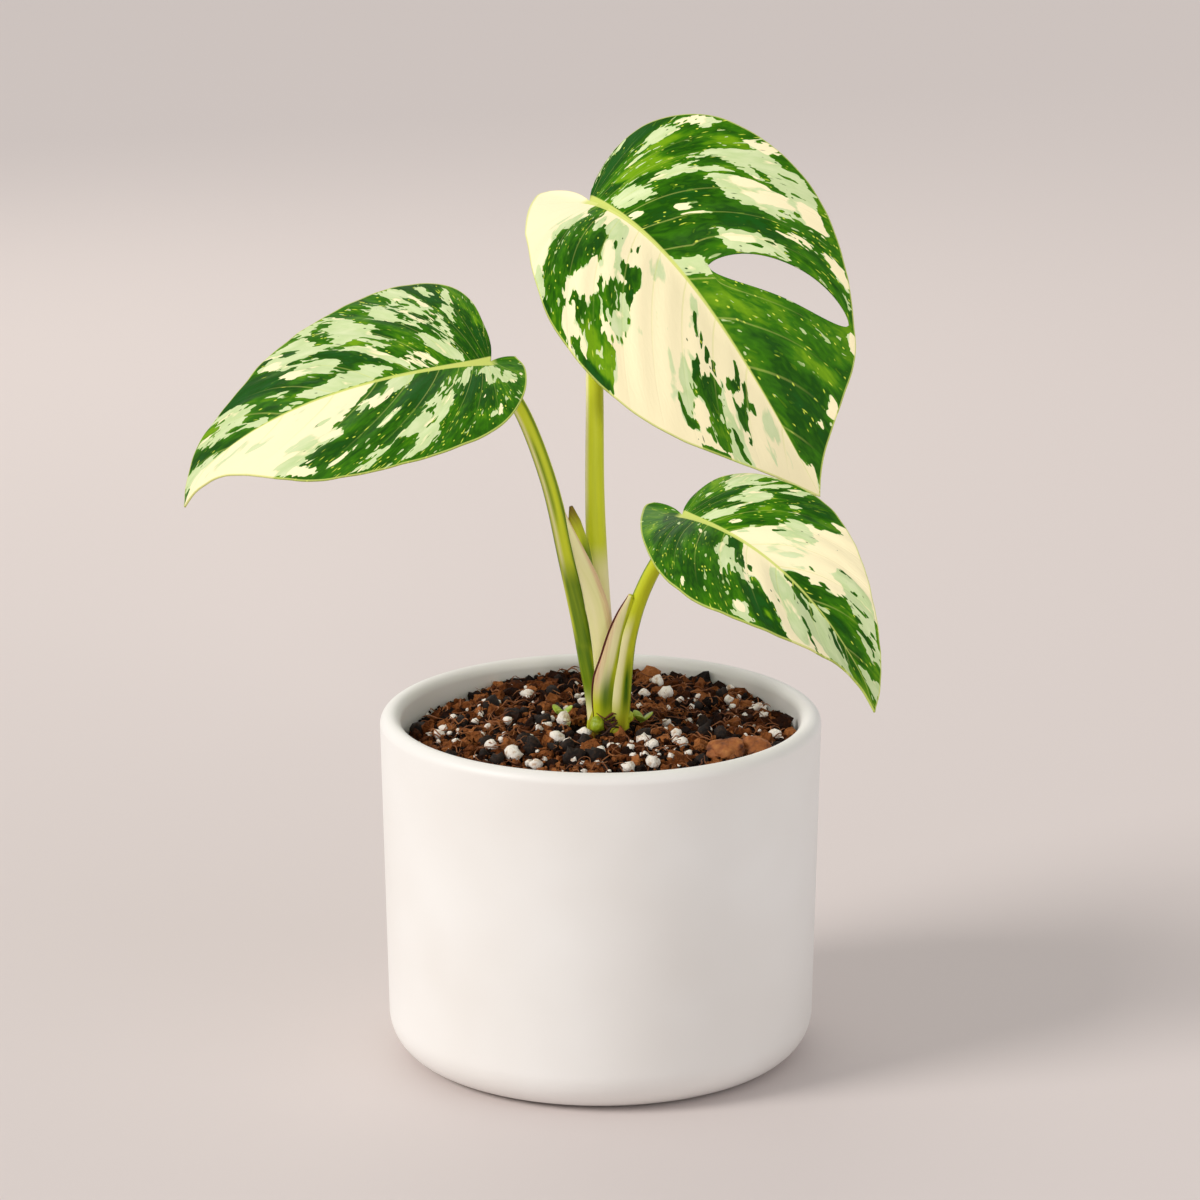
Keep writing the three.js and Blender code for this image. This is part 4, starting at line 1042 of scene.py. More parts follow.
def add_leaf_half(bm, layers, blade, name, hand, span, columns, beyond, leaf):
    """Adds one grid of the upper face, with its markings."""
    made = bmesh.ops.create_grid(bm, x_segments=columns, y_segments=LEAF_ROWS, size=1)["verts"]
    grid = np.array([vert.co[:2] for vert in made])
    t = span[0] + (span[1] - span[0]) * (grid[:, 0] + 1) / 2
    v = np.interp((grid[:, 1] + 1) / 2, ROW_SHARES, ROW_PLACES)
    plan = blade.plan(t, v, hand, beyond)
    veins = blade.spec["rim_veins"]
    rim = blade.rims[hand].at(t)[:, :2]
    foot = np.stack([blade.spec["length"] * t**VEIN_POWER, 0 * t], 1)
    vein_length = np.linalg.norm(rim - foot, axis=1)
    gap = blade.vein_gap(t, v, hand)
    places = blade.surface(plan[:, 0], plan[:, 1], leaf_relief(t, v, veins, gap, leaf))
    set_places(made, places)
    ups = blade.upward(plan[:, 0], plan[:, 1])
    tissue = paint_tissue(MARKINGS[name, hand], t, v, hand * 3.0 + len(name) + veins)
    reach = np.linalg.norm(rim - plan, axis=1)
    share = plan[:, 0] / blade.spec["length"]
    out = np.abs(plan[:, 1] - blade.spec["hook"] * smoothstep(share, HOOK_FROM, 1))
    shift = 1 if hand > 0 else veins + 3
    uv = np.stack([(t * veins + shift) * VEIN_PITCH, v * vein_length], 1) * MM
    where = np.stack([out / WHERE_UNIT, share, np.minimum(reach / WHERE_UNIT, 1), v], 1)
    for k, vert in enumerate(made):
        vert.index = k
        vert[layers["out"]] = plan[k, 1]
        vert[layers["along"]] = plan[k, 0]
        vert[layers["up"]] = ups[k]
    for face in {face for vert in made for face in vert.link_faces}:
        if hand < 0:
            face.normal_flip()
        for loop in face.loops:
            k = loop.vert.index
            loop[layers["veins"]].uv = uv[k]
            loop[layers["markings"]] = tissue[k]
            loop[layers["where"]] = where[k]


def leaf_mesh(name, leaf):
    """The whole blade: both halves of the upper face, then the lower face with its midrib."""
    blade = Blade(BLADES[name])
    bm = bmesh.new()
    layers = {
        "out": bm.verts.layers.float.new("out"),
        "along": bm.verts.layers.float.new("along"),
        "up": bm.verts.layers.float_vector.new("up"),
        "veins": bm.loops.layers.uv.new("veins"),
        "markings": bm.loops.layers.float_color.new("markings"),
        "where": bm.loops.layers.float_color.new("where"),
    }
    opening = blade.spec["opening"]
    split = opening[0] if opening else 1
    spans = [(0, split), (split, 1)] if opening else [(0, 1)]
    for hand in (1, -1):
        for span in spans:
            columns = round(LEAF_COLUMNS * (span[1] - span[0]))
            add_leaf_half(bm, layers, blade, name, hand, span, columns, span[0] > 0, leaf)
    bmesh.ops.remove_doubles(bm, verts=bm.verts, dist=LEAF_MERGE)
    bmesh.ops.dissolve_degenerate(bm, edges=bm.edges, dist=TINY)
    made = bmesh.ops.extrude_face_region(bm, geom=list(bm.faces), use_keep_orig=True)
    length = blade.spec["length"]
    for vert in made["geom"]:
        if isinstance(vert, bmesh.types.BMVert):
            along = vert[layers["along"]]
            fade = 0 if along < -MIDRIB_BEHIND else 1 - max(along, 0) / length
            bulge = MIDRIB_DEPTH * fade * math.exp(-((vert[layers["out"]] / MIDRIB_WIDTH) ** 2))
            vert.co -= vert[layers["up"]] * (BLADE_THICKNESS + bulge)
    for face in made["geom"]:
        if isinstance(face, bmesh.types.BMFace):
            for loop in face.loops:
                out, along, inset, outward = loop[layers["where"]]
                loop[layers["where"]] = (out, along + LOWER_FACE, inset, outward)
    bmesh.ops.recalc_face_normals(bm, faces=bm.faces)
    return bm


def grained(skin, strip, pitch, shift, least, detail, curl=0):
    """A noise drawn out along a strip: its sizes in millimetres, its place and its contrast."""
    settings = {"Vector": strip, "Scale": (*map(per, pitch), 1), "Location": (shift, shift, 0)}
    grain = node(skin, "Mapping", settings)
    tone = node(skin, "TexNoise", {"Vector": grain, "Scale": 1, "Detail": detail, "Distortion": curl})
    return node(skin, "MapRange", [tone, least, 1 - least])


def leaf_material(leaf):
    """Living leaf with a waxy cuticle: marbled in streaks along the side veins, with a satin gloss."""
    skin = new_material("Waxy living leaf")
    marks = node(skin, "Attribute", attribute_name="markings")
    tissue = node(skin, "SeparateColor", [marks.outputs["Color"]])
    pale, creamy, light = (tissue.outputs[k] for k in range(3))
    spot = node(skin, "Attribute", attribute_name="where")
    spots = node(skin, "SeparateColor", [spot.outputs["Color"]])
    out, along, inset = (spots.outputs[k] for k in range(3))
    veins = node(skin, "UVMap", uv_map="veins")

    # Streaks 2.6 mm wide, clouds 4 mm wide and a fine grain, all drawn out along the side veins.
    streaks = grained(skin, veins, (2.6, 7), 0, 0.28, 1, 0.5)
    clouds = grained(skin, veins, (4, 9), 17, 0.28, 3, 0.3)
    fine = grained(skin, veins, (1.1, 2.8), 31, 0.28, 0, 0.6)

    # The green: a tissue's own lightness, clouded and grained.
    for grain, share in ((fine, 0.2), (clouds, 0.4)):
        centred = node(skin, "Math", [grain, 0.5], operation="SUBTRACT")
        light = node(skin, "Math", [centred, share, light], operation="MULTIPLY_ADD")
    # The darkest end of the greens is dark green with a painted bluish sheen.
    greens = [(0.02, leaf.sheen_blue_green), (0.22, leaf.deep_green), (0.55, leaf.mid_green)]
    green = node(skin, "ValToRGB", [light], [*greens, (0.95, leaf.bright_green)])

    # Sage breaks into the green along the streaks, behind a bright halo, and cream into the sage.
    share = node(skin, "Math", [pale, 1.15, -0.07], operation="MULTIPLY_ADD")
    broken = node(skin, "MapRange", [node(skin, "Mix", [0.5, streaks, fine]), 0.14, 0.86])
    depth = node(skin, "Math", [share, broken], operation="SUBTRACT")
    halo = node(skin, "MapRange", [depth, -0.13, -0.01, 0, 0.45])
    rimmed = node(skin, "Mix", [halo, green, leaf.bright_green], data_type="RGBA")
    sage_cover = node(skin, "MapRange", [depth, -0.03, 0.02])
    milky = node(skin, "Mix", [clouds, leaf.sage, leaf.sage_light], data_type="RGBA")
    sage = node(skin, "Mix", [sage_cover, rimmed, milky], data_type="RGBA")
    cream_depth = node(skin, "Math", [creamy, clouds], operation="SUBTRACT")
    bold = node(skin, "MapRange", [depth, 0.03, 0.09])
    rich = node(skin, "MapRange", [cream_depth, -0.12, 0.08])
    inner = node(skin, "Math", [bold, rich], operation="MULTIPLY")
    body = node(skin, "Mix", [inner, sage, leaf.cream], data_type="RGBA")

    # Round specks, then dashes along the veins: one in some of the cells, light on green and dark on sage.
    limit = node(skin, "Math", [marks.outputs["Alpha"], 0.5], operation="MULTIPLY")
    speck = node(skin, "Mix", [sage_cover, leaf.speck, leaf.deep_green], data_type="RGBA")
    for wide, long, core, cover in ((1.3, 1.9, 0.13, 0.95), (0.9, 5, 0.1, 0.9)):
        cells = node(skin, "Mapping", {"Vector": veins, "Scale": (per(wide), per(long), 1)})
        cell = node(skin, "TexVoronoi", {"Vector": cells, "Scale": 1})
        draw = node(skin, "SeparateColor", [cell.outputs["Color"]])
        chosen = node(skin, "Math", [draw.outputs[0], limit], operation="LESS_THAN")
        dot = node(skin, "MapRange", [cell.outputs["Distance"], core, 0.24, cover, 0])
        dots = node(skin, "Math", [dot, chosen], operation="MULTIPLY")
        body = node(skin, "Mix", [dots, body, speck], data_type="RGBA")

    # The side veins are thin pale lines that fade towards the margin.
    split = node(skin, "SeparateXYZ", [veins])
    count = node(skin, "Math", [split.outputs[0], VEIN_PITCH * MM], operation="DIVIDE")
    phase = node(skin, "Math", [count, 0.5], operation="PINGPONG")
    line = node(skin, "MapRange", [phase, 0.012, 0.035, 1, 0])
    fade = node(skin, "MapRange", [spot.outputs["Alpha"], 0.15, 0.8, 0.3, 0])
    drawn = node(skin, "Math", [line, fade], operation="MULTIPLY")
    veined = node(skin, "Mix", [drawn, body, leaf.rib], data_type="RGBA")

    # The midrib tapers to the tip and flares at the stalk. The margin is as pale, the lower face dull.
    under = node(skin, "Math", [along, 1.5], operation="GREATER_THAN")
    far = node(skin, "Math", [under, -LOWER_FACE, along], operation="MULTIPLY_ADD")
    ahead = node(skin, "Math", [far, 0], operation="MAXIMUM")
    near = node(skin, "Math", [1, ahead], operation="SUBTRACT")
    foot = node(skin, "Math", [near, 16], operation="POWER")
    flare = node(skin, "Math", [foot, 0.055], operation="MULTIPLY")
    rib_width = node(skin, "Math", [near, 0.042, flare], operation="MULTIPLY_ADD")
    off_rib = node(skin, "Math", [out, rib_width], operation="SUBTRACT")
    rib_edge = node(skin, "MapRange", [off_rib, -0.012, 0.006, 0.9, 0])
    rib_start = node(skin, "MapRange", [far, -0.02, 0.0])
    rib = node(skin, "Math", [rib_edge, rib_start], operation="MULTIPLY")
    ribbed = node(skin, "Mix", [rib, veined, leaf.rib], data_type="RGBA")
    margin = node(skin, "MapRange", [inset, 0.015, 0.03, 0.7, 0])
    edged = node(skin, "Mix", [margin, ribbed, leaf.rib], data_type="RGBA")
    lower = node(skin, "Mix", [0.6, edged, leaf.underside], data_type="RGBA")
    tone = node(skin, "Mix", [under, edged, lower], data_type="RGBA")

    sunk = node(skin, "Math", [line, -0.6], operation="MULTIPLY")
    relief = node(skin, "Math", [fine, 0.4, sunk], operation="MULTIPLY_ADD")
    bump = node(skin, "Bump", {"Height": relief, "Strength": 0.35, "Distance": 0.15 * MM})
    surface = {"Base Color": tone, "Normal": bump, "Roughness": 0.38, "Specular IOR Level": 0.1}
    return skin_material(skin, surface)


class MONSTERA_OT_leaves(bpy.types.Operator):
    """Spread the three marbled leaf blades"""

    bl_idname = "monstera.leaves"
    bl_label = "Leaves"

    def execute(self, context):
        leaf = context.scene.monstera_leaves
        skin = leaf_material(leaf)
        for name in BLADES:
            add_piece(leaf_mesh(name, leaf), name + "_blade", skin, [name])
        return {"FINISHED"}


# The stalks. A stop is (x, y, z, half width across the view, half depth).

STALKS = {
    "petiole_left": [
        (-0.6, 0, 91, 2.7, 2.6), (-1.5, 0, 100.5, 2.8, 2.6), (-3, 0, 108.5, 2.7, 2.4),
        (-5.3, 0.5, 121, 2.6, 2.3), (-8.9, 1, 137.5, 2.4, 2.2), (-14, 1.5, 160, 2.2, 2.1),
        (-21, 1.5, 179, 2.1, 2), (-25.8, 0.4, 187, 2, 1.9), (-29.2, -1.3, 191.6, 1.8, 1.7),
    ],
    "petiole_right": [
        (4.6, -2.6, 92, 3.2, 3), (5, -4.5, 101, 3.2, 3), (5.8, -6.5, 109.6, 2.9, 2.6),
        (7.1, -9.5, 118.9, 2.5, 2.3), (9.6, -14, 129.3, 2.2, 2.1), (12.8, -19, 138.7, 2.1, 2),
        (17, -24.8, 148, 2, 1.9), (21.1, -30.2, 156.8, 1.7, 1.7),
    ],
    "petiole_centre": [
        (1.8, 3, 92, 3.2, 3), (1.4, 3.4, 101, 3.2, 3), (0.8, 4, 111, 3.1, 2.9), (-0.3, 5, 126, 2.95, 2.8),
        (-1.2, 6.5, 142.5, 2.8, 2.7), (-1.6, 8.2, 157, 2.6, 2.5), (-1.6, 11.2, 180, 2.4, 2.3),
        (-1.8, 13.8, 200, 2.25, 2.15), (-2.1, 15.9, 218, 2.1, 2), (-2.4, 15.9, 232.3, 1.8, 1.7),
    ],
}
SHEATHS = {
    "petiole_left": [
        (1.5, -2.4, 93, 3.2, 1.4), (1.2, -2.4, 108, 2.9, 1.3), (0.2, -1.7, 119, 3.1, 1.1),
        (-1.1, -1.1, 126, 3.2, 1), (-3.2, -0.4, 133.4, 2.6, 0.9), (-6.9, 0.5, 143, 1.5, 0.8),
        (-10, 1.1, 150.5, 0.9, 0.6), (-11.4, 1.4, 154.5, 0.5, 0.4),
    ],
    "petiole_right": [
        (1.6, -4.4, 94, 3.3, 1.5), (1.5, -5.8, 101.5, 3.8, 1.4), (2.1, -7, 107.5, 4, 1.3),
        (3.5, -8.8, 114, 3.5, 1.2), (5, -11.2, 121.4, 2.9, 1), (6.5, -14.2, 127.8, 2, 0.9),
        (8, -17.2, 133.4, 0.7, 0.6),
    ],
}
BUD = [
    (0.4, 1.2, 112, 1.3, 1.1), (-1, 1.4, 122, 1.7, 1.3), (-3, 1.7, 131, 2, 1.4), (-5.4, 2, 142, 2.3, 1.5),
    (-7.1, 1.8, 149, 1.7, 1.2), (-8, 1.4, 153.2, 0.5, 0.5),
]
# The dry edge of each sheath: the side it is on, its thickness and the sheath's stop that it starts from.
SHEATH_EDGES = {"petiole_left": (1, 0.2, 3), "petiole_right": (-1, 0.32, 0)}
EDGE_FORWARD = 0.3
EDGE_RINGS = 60
STALK_SIDES = 32
STALK_RINGS = 180
TINT_SOFT = 5
TINT_TURN = 14

# Tints on a stalk: kind, lowest and highest height, and from and to in degrees round it. The front is 0,
# the right is plus.
STALK_TINTS = {
    "petiole_left": [
        ("dark", 112, 136, -50, 110), ("dark", 100, 118, -110, 30), ("dark", 134, 188, -110, -62),
        ("dark", 130, 186, 42, 70), ("dark", 150, 172, -20, 0), ("pale", 136, 188, -45, -25),
        ("pale", 84, 100, -180, 180),
    ],
    "petiole_right": [
        ("pale", 99, 124, -45, 5), ("dark", 98, 112, 15, 60), ("dark", 92, 150, 70, 150),
        ("dark", 118, 150, -120, -70), ("brown", 84, 94.5, -50, 40),
    ],
    "petiole_centre": [
        ("pale", 84, 138, -180, 180), ("pale", 150, 228, -80, -50), ("pink", 112, 124, 45, 90),
        ("dark", 150, 228, 110, 175),
    ],
    "sheath_left": [
        ("pale", 80, 160, -180, 180), ("pink", 112, 160, 66, 180), ("dark", 88, 102, -110, -20),
    ],
    "sheath_right": [
        # The pale tint across this sheath's front is partly its pale skin and partly a painted highlight.
        ("pale", 104, 136, -80, 10), ("pink", 104, 139, -110, -62),
        ("dark", 97, 108, -50, 60), ("dark", 112, 126, 35, 80), ("brown", 80, 93, -80, 90),
    ],
    "bud": [("brown", 149, 158, -180, 180), ("brown", 136, 154, -110, -84), ("dark", 112, 144, 20, 120)],
}
TINT_CHANNEL = {"dark": 0, "pale": 1, "pink": 2, "brown": 3}


def stalk_layers(bm):
    return {"strip": bm.loops.layers.uv.new("strip"), "tint": bm.loops.layers.float_color.new("tint")}


def stalk_mesh(stops, tints):
    """A tapering tube along a route, with closed ends and its tints."""
    bm = bmesh.new()
    layers = stalk_layers(bm)
    knots = np.array([stop[:3] for stop in stops], float)
    route = Route(knots)
    nearest = [np.argmin(np.linalg.norm(route.line - knot, axis=1)) for knot in knots]
    knot_shares = route.far[nearest] / route.length
    verts, share, angle = unit_tube(bm, STALK_SIDES, STALK_RINGS)
    across = np.interp(share, knot_shares, [stop[3] for stop in stops])
    through = np.interp(share, knot_shares, [stop[4] for stop in stops])
    outward = wrapped(route, share, angle, across, through)
    places = route.at(share) + outward
    set_places(verts, places)
    turn = np.degrees(np.arctan2(outward[:, 0], -outward[:, 1]))
    tint = np.zeros((len(verts), 4))
    for kind, low, high, turn_from, turn_to in tints:
        ends = [(end - TINT_SOFT, end + TINT_SOFT) for end in (low, high)]
        cover = between(places[:, 2], *ends)
        if turn_to - turn_from < 360:
            middle, half = (turn_from + turn_to) / 2, (turn_to - turn_from) / 2
            off = np.abs((turn - middle + 180) % 360 - 180)
            cover = cover * (1 - smoothstep(off, half - TINT_TURN, half + TINT_TURN))
        tint[:, TINT_CHANNEL[kind]] = np.maximum(tint[:, TINT_CHANNEL[kind]], cover)
    uv = np.stack([angle * across, share * route.length], 1) * MM
    bm.verts.index_update()
    for face in bm.faces:
        for loop in face.loops:
            k = loop.vert.index
            loop[layers["strip"]].uv = uv[k]
            loop[layers["tint"]] = tint[k]
    return bm


def stalk_material(stalks):
    """Smooth juicy stalk skin: yellow-green with long fine stripes, pale and pink edges, satin gloss."""
    skin = new_material("Satin stalk skin")
    tints = node(skin, "Attribute", attribute_name="tint")
    parts = node(skin, "SeparateColor", [tints.outputs["Color"]])
    strip = node(skin, "UVMap", uv_map="strip")
    broad = grained(skin, strip, (1.8, 30), 5, 0.3, 3)
    fine = grained(skin, strip, (0.5, 12), 11, 0.3, 3)
    faint = node(skin, "Math", [broad, 0.16], operation="MULTIPLY")
    tone = node(skin, "Mix", [faint, stalks.skin, stalks.skin_dark], data_type="RGBA")
    layers = [
        (parts.outputs[1], broad, 0.75, stalks.skin_pale),
        (parts.outputs[0], broad, 0.6, stalks.skin_dark),
        (parts.outputs[2], fine, 0.35, stalks.sheath_pink),
        (tints.outputs["Alpha"], fine, 0.7, stalks.scar_brown),
    ]
    for share, grain, least, paint in layers:
        thin = node(skin, "MapRange", [grain, 0, 1, 1, least])
        cover = node(skin, "Math", [share, thin], operation="MULTIPLY")
        tone = node(skin, "Mix", [cover, tone, paint], data_type="RGBA")
    bump = node(skin, "Bump", {"Height": fine, "Strength": 0.15, "Distance": 0.1 * MM})
    surface = {"Base Color": tone, "Normal": bump, "Roughness": 0.36, "Specular IOR Level": 0.25}
    return skin_material(skin, surface)


class MONSTERA_OT_stalks(bpy.types.Operator):
    """Raise the leaf stalks, their sheaths and the bud"""

    bl_idname = "monstera.stalks"
    bl_label = "Stalks"

    def execute(self, context):
        stalks = context.scene.monstera_stalks
        skin = stalk_material(stalks)
        for name, stops in STALKS.items():
            add_piece(stalk_mesh(stops, STALK_TINTS[name]), name + "_stalk", skin, [name])
        for name, stops in SHEATHS.items():
            sheath = name.replace("petiole", "sheath")
            add_piece(stalk_mesh(stops, STALK_TINTS[sheath]), sheath, skin, [name])
        # Both edges share one bmesh, so the second takes over the first one's vertices: a known fault.
        # Only the right sheath's edge is built, and the left one's triangles lie at the origin, with no area.
        bm = bmesh.new()
        for name, (side, thickness, first) in SHEATH_EDGES.items():
            edge = [(x + side * half, y - EDGE_FORWARD, z) for x, y, z, half, _ in SHEATHS[name][first:]]
            add_strand(bm, edge, thickness, EDGE_RINGS)
        dry = coir_material("Dry sheath edge", stalks.scar_brown, stalks.scar_brown)
        add_piece(bm, "sheath_edges", dry, list(SHEATH_EDGES))
        add_piece(stalk_mesh(BUD, STALK_TINTS["bud"]), "leaf_bud", skin, ["bud"])
        return {"FINISHED"}


# The stem and the sprouts

STEM_AXIS = (2, 0.5)
# The stem's height and radius, from the bottom up.
STEM = [(64, 5.4), (70, 5.9), (78, 6.1), (86, 5.8), (92, 5.8), (97, 5.2), (99.6, 3.6), (100, 1.5)]
# Knobs on the stem: place, radius, how green and how brown they are.
KNOBS = [(-0.8, -5.6, 94, 2.1, 0.7, 0), (4.4, -6.6, 91.8, 1.9, 0.45, 0.5), (7, -3.2, 95.4, 1.7, 0.4, 0)]
KNOB_FOOT = 92.5
KNOB_STRETCH = 1.15
KNOB_ROUGH = 0.2
KNOB_FOOT_BROWN = 0.8
# The scar's strands: their heights, slant, start and span in degrees round the stem, and radii.
SCAR_STRANDS = 34
SCAR_HEIGHTS = (90.5, 96)
SCAR_SLANT = 3
SCAR_STARTS = (-115, -75)
SCAR_SPANS = (15, 50)
SCAR_RADIUS = 7
SCAR_WANDER = (-0.15, 0.2)
SCAR_RADII = (0.15, 0.32)
HAND_STRAND_RADIUS = 0.3
# Two strands given point by point: the collar where the right sheath ends, and a root that crosses the front.
HAND_STRANDS = [
    [(-1.2, -6.2, 97.4), (1.2, -7, 96), (3, -6.6, 97.4), (4.8, -6.4, 97.2), (7.6, -4.6, 98.6)],
    [(-1, -7.6, 91.2), (1.2, -8.3, 92.2), (3, -8.2, 94), (4.6, -7.6, 93.8), (6.4, -6.6, 92)],
]
STEM_TINTS = [("brown", 80, 95, -70, 70), ("dark", 60, 80, -180, 180)]
SPROUTS = {"sprout_left": (-10.6, 7, 20), "sprout_right": (11.2, 1, 130)}
SPROUT_RISE = 2.2
SPROUT_LEAVES = 3
SPROUT_STEM = dict(segments=16, radius1=0.6, radius2=0.42, depth=4)
SPROUT_LEAF = (2.1, 1.4, 0.4)
SPROUT_LEAF_OUT = 1.4
SPROUT_LEAF_UP = 0.7
SPROUT_LEAF_TILT = -38


class MONSTERA_OT_stem(bpy.types.Operator):
    """Set the stem and its knobs in the mix"""

    bl_idname = "monstera.stem"
    bl_label = "Stem"

    def execute(self, context):
        skin = stalk_material(context.scene.monstera_stalks)
        stops = [(*STEM_AXIS, height, radius, radius) for height, radius in STEM]
        add_piece(stalk_mesh(stops, STEM_TINTS), "stem_base", skin, ["stem"])
        rng = Random(SEED)
        bm = bmesh.new()
        layers = stalk_layers(bm)
        for x, y, z, radius, *_ in KNOBS:
            add_lump(bm, rng, (x, y, z), (radius, radius, radius * KNOB_STRETCH), KNOB_ROUGH, 4)
        for face in bm.faces:
            for loop in face.loops:
                x, y, z = loop.vert.co
                green, brown = min(KNOBS, key=lambda knob: math.dist(knob[:3], (x, y, z)))[4:]
                low = KNOB_FOOT_BROWN * smoothstep(KNOB_FOOT - z, -1, 1)
                loop[layers["tint"]] = (green, 0, 0, max(brown, low))
                loop[layers["strip"]].uv = (x * MM, z * MM)
        add_piece(bm, "stem_knobs", skin, ["stem"])

        def add_scar(bm, k):
            if k < len(HAND_STRANDS):
                add_strand(bm, HAND_STRANDS[k], HAND_STRAND_RADIUS)
                return
            slant = rng.uniform(-SCAR_SLANT, SCAR_SLANT)
            low = rng.uniform(*SCAR_HEIGHTS)
            start = math.radians(rng.uniform(*SCAR_STARTS))
            span = math.radians(rng.uniform(*SCAR_SPANS))
            x, y = STEM_AXIS
            points = []
            for share in (0, 0.25, 0.5, 0.75, 1):
                turn = start + span * share
                reach = SCAR_RADIUS + rng.uniform(*SCAR_WANDER)
                points.append((x + reach * math.cos(turn), y + reach * math.sin(turn), low + slant * share))
            add_strand(bm, points, rng.uniform(*SCAR_RADII))

        bm = gather(add_scar, SCAR_STRANDS + len(HAND_STRANDS), 1)
        mix = context.scene.monstera_mix
        fibre = coir_material("Dry scar fibre", mix.bark_dark, mix.bark)
        add_piece(bm, "stem_scar", fibre, ["stem"])
        return {"FINISHED"}


def seedling_material(leaf):
    """Tender seedling leaf: thin-skinned and fresh green, mottled, with a soft gloss."""
    green = new_material("Seedling leaf")
    place = node(green, "TexCoord").outputs["Object"]
    mottle = node(green, "TexNoise", {"Vector": place, "Scale": per(1.5)})
    mixed = {"Factor": mottle, "A": leaf.mid_green, "B": leaf.speck}
    tone = node(green, "Mix", mixed, data_type="RGBA")
    return skin_material(green, {"Base Color": tone, "Roughness": 0.4})


class MONSTERA_OT_sprouts(bpy.types.Operator):
    """Plant the two tiny sprouts"""

    bl_idname = "monstera.sprouts"
    bl_label = "Sprouts"

    def execute(self, context):
        green = seedling_material(context.scene.monstera_leaves)
        for name, (x, y, turn) in SPROUTS.items():
            bm = bmesh.new()
            top = mix_height(x, y) + SPROUT_RISE
            foot = Matrix.Translation((x, y, top - SPROUT_STEM["depth"] / 2))
            bmesh.ops.create_cone(bm, cap_ends=True, matrix=foot, **SPROUT_STEM)
            for k in range(SPROUT_LEAVES):
                heading = math.radians(turn + 360 * k / SPROUT_LEAVES)
                aim = Vector((math.cos(heading), math.sin(heading), SPROUT_LEAF_UP))
                middle = Vector((x, y, top)) + aim * SPROUT_LEAF_OUT
                made = bmesh.ops.create_icosphere(bm, subdivisions=4, radius=1)["verts"]
                bmesh.ops.scale(bm, vec=SPROUT_LEAF, verts=made)
                rise = Matrix.Rotation(math.radians(SPROUT_LEAF_TILT), 3, "Y")
                tilt = Matrix.Rotation(heading, 3, "Z") @ rise
                bmesh.ops.rotate(bm, matrix=tilt, verts=made)
                bmesh.ops.translate(bm, vec=middle, verts=made)
            add_piece(bm, name + "_tuft", green, [name])
        return {"FINISHED"}


# The stage, the light and the camera

CAMERA_PLACE = (-0.18, -1446.5, 524.5)
CAMERA_TARGET = (-0.18, 0, 127.4)
CAMERA_LENS = 166.38
CAMERA_SENSOR = 36
CAMERA_REACH_M = 100
FLOOR_SIZE_M = 12
MIDDLE = (0, 0, 120)
DISC = {"shape": "DISK", "size": 1}
SPOT = {"spot_size": math.radians(15), "spot_blend": 1, "shadow_soft_size": 0.06}
# Lights: name, kind, place, target, the panel's value for their strength, colour and shape.
LIGHTS = [
    ("daylight", "SUN", (-900, -420, 800), MIDDLE, "sun", "#fffcf8", {"angle": math.radians(22)}),
    ("leaf_light", "SPOT", (140, -760, 420), (24, -8, 204), "leaf_light", "#fffaf2", SPOT),
    ("fill_light", "AREA", (900, -700, 500), MIDDLE, "fill", "#f3f6ff", DISC),
    ("back_light", "AREA", (-300, 900, 700), MIDDLE, "fill", "#fff7ec", DISC),
]


def aimed(place, target):
    """A turn that points an object's -Z axis from a place to a target."""
    return (Vector(target) - Vector(place)).to_track_quat("-Z", "Y").to_euler()


def add_light(name, kind, place, target, energy, tone, shape):
    lamp = bpy.data.lights.new(name, kind)
    lamp.energy = energy
    for setting, value in shape.items():
        setattr(lamp, setting, value)
    lamp.color = linear(tone)[:3]
    holder = bpy.data.objects.new(name, lamp)
    holder.location = Vector(place) * MM
    holder.rotation_euler = aimed(place, target)
    bpy.context.scene.collection.objects.link(holder)


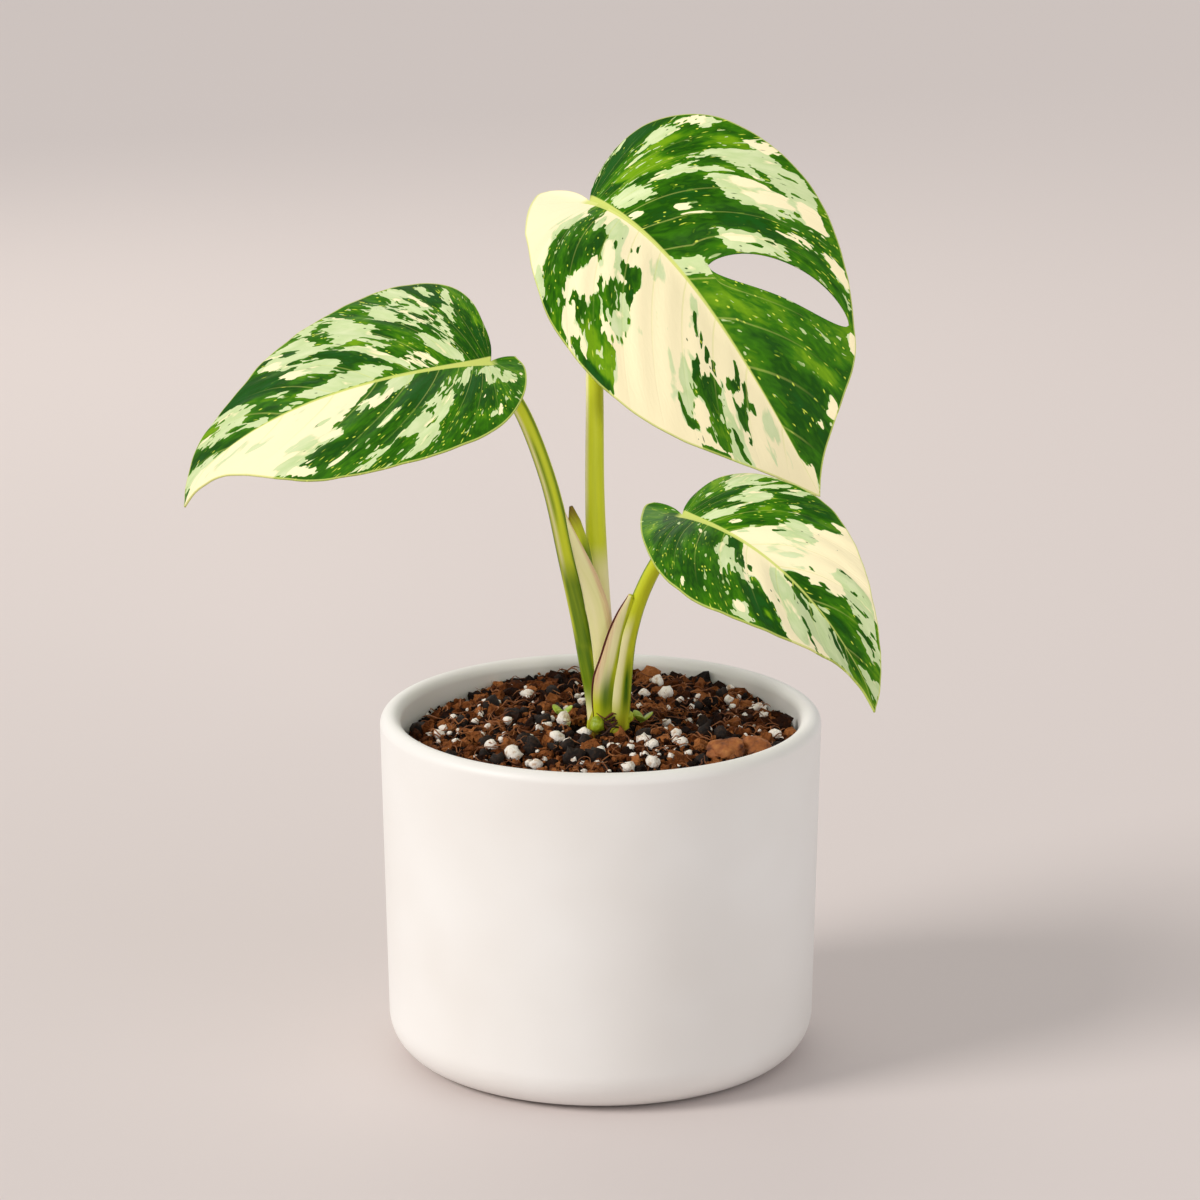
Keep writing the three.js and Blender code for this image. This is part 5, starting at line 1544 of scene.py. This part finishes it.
class MONSTERA_OT_stage(bpy.types.Operator):
    """Lay the floor, hang the lights and set up the camera"""

    bl_idname = "monstera.stage"
    bl_label = "Stage"

    def execute(self, context):
        studio = context.scene.monstera_studio
        bm = bmesh.new()
        bmesh.ops.create_grid(bm, x_segments=1, y_segments=1, size=FLOOR_SIZE_M / 2)
        mesh = bpy.data.meshes.new("floor")
        bm.to_mesh(mesh)
        bm.free()
        paint = new_material("Matte painted floor")
        skin_material(paint, {"Base Color": studio.floor, "Roughness": 0.7})
        mesh.materials.append(paint)
        floor = bpy.data.objects.new("floor", mesh)
        context.scene.collection.objects.link(floor)
        for name, kind, place, target, value, tone, shape in LIGHTS:
            add_light(name, kind, place, target, getattr(studio, value), tone, shape)
        world = bpy.data.worlds.new("studio")
        world.use_nodes = True
        sky = world.node_tree.nodes["Background"]
        sky.inputs["Color"].default_value = linear("#f4f3f1")
        sky.inputs["Strength"].default_value = studio.sky
        context.scene.world = world
        context.scene.view_settings.view_transform = "Standard"
        eye = bpy.data.cameras.new("camera")
        eye.lens = CAMERA_LENS
        eye.sensor_width = CAMERA_SENSOR
        eye.clip_end = CAMERA_REACH_M
        holder = bpy.data.objects.new("camera", eye)
        holder.location = Vector(CAMERA_PLACE) * MM
        holder.rotation_euler = aimed(CAMERA_PLACE, CAMERA_TARGET)
        context.scene.collection.objects.link(holder)
        context.scene.camera = holder
        return {"FINISHED"}


STEPS = [
    MONSTERA_OT_stage,
    MONSTERA_OT_pot,
    MONSTERA_OT_mix,
    MONSTERA_OT_stem,
    MONSTERA_OT_stalks,
    MONSTERA_OT_leaves,
    MONSTERA_OT_sprouts,
]
GROUPS = {
    "monstera_pot": MONSTERA_PG_pot,
    "monstera_mix": MONSTERA_PG_mix,
    "monstera_leaves": MONSTERA_PG_leaves,
    "monstera_stalks": MONSTERA_PG_stalks,
    "monstera_studio": MONSTERA_PG_studio,
}


class MONSTERA_PT_panel(bpy.types.Panel):
    """Lists the plant's pieces and their values."""

    bl_label = "Monstera"
    bl_idname = "MONSTERA_PT_panel"
    bl_space_type = "VIEW_3D"
    bl_region_type = "UI"
    bl_category = "Monstera"

    def draw(self, context):
        for step in STEPS:
            self.layout.operator(step.bl_idname)
        for name, group in GROUPS.items():
            box = self.layout.box()
            box.label(text=group.__doc__)
            for value in group.__annotations__:
                box.prop(getattr(context.scene, name), value)


def register():
    for kind in (*GROUPS.values(), *STEPS, MONSTERA_PT_panel):
        bpy.utils.register_class(kind)
    for name, group in GROUPS.items():
        setattr(bpy.types.Scene, name, bpy.props.PointerProperty(type=group))


def unregister():
    for name in GROUPS:
        delattr(bpy.types.Scene, name)
    for kind in reversed((*GROUPS.values(), *STEPS, MONSTERA_PT_panel)):
        bpy.utils.unregister_class(kind)


def main():
    register()
    for step in STEPS:
        family, action = step.bl_idname.split(".")
        getattr(getattr(bpy.ops, family), action)()


if __name__ == "__main__":
    main()
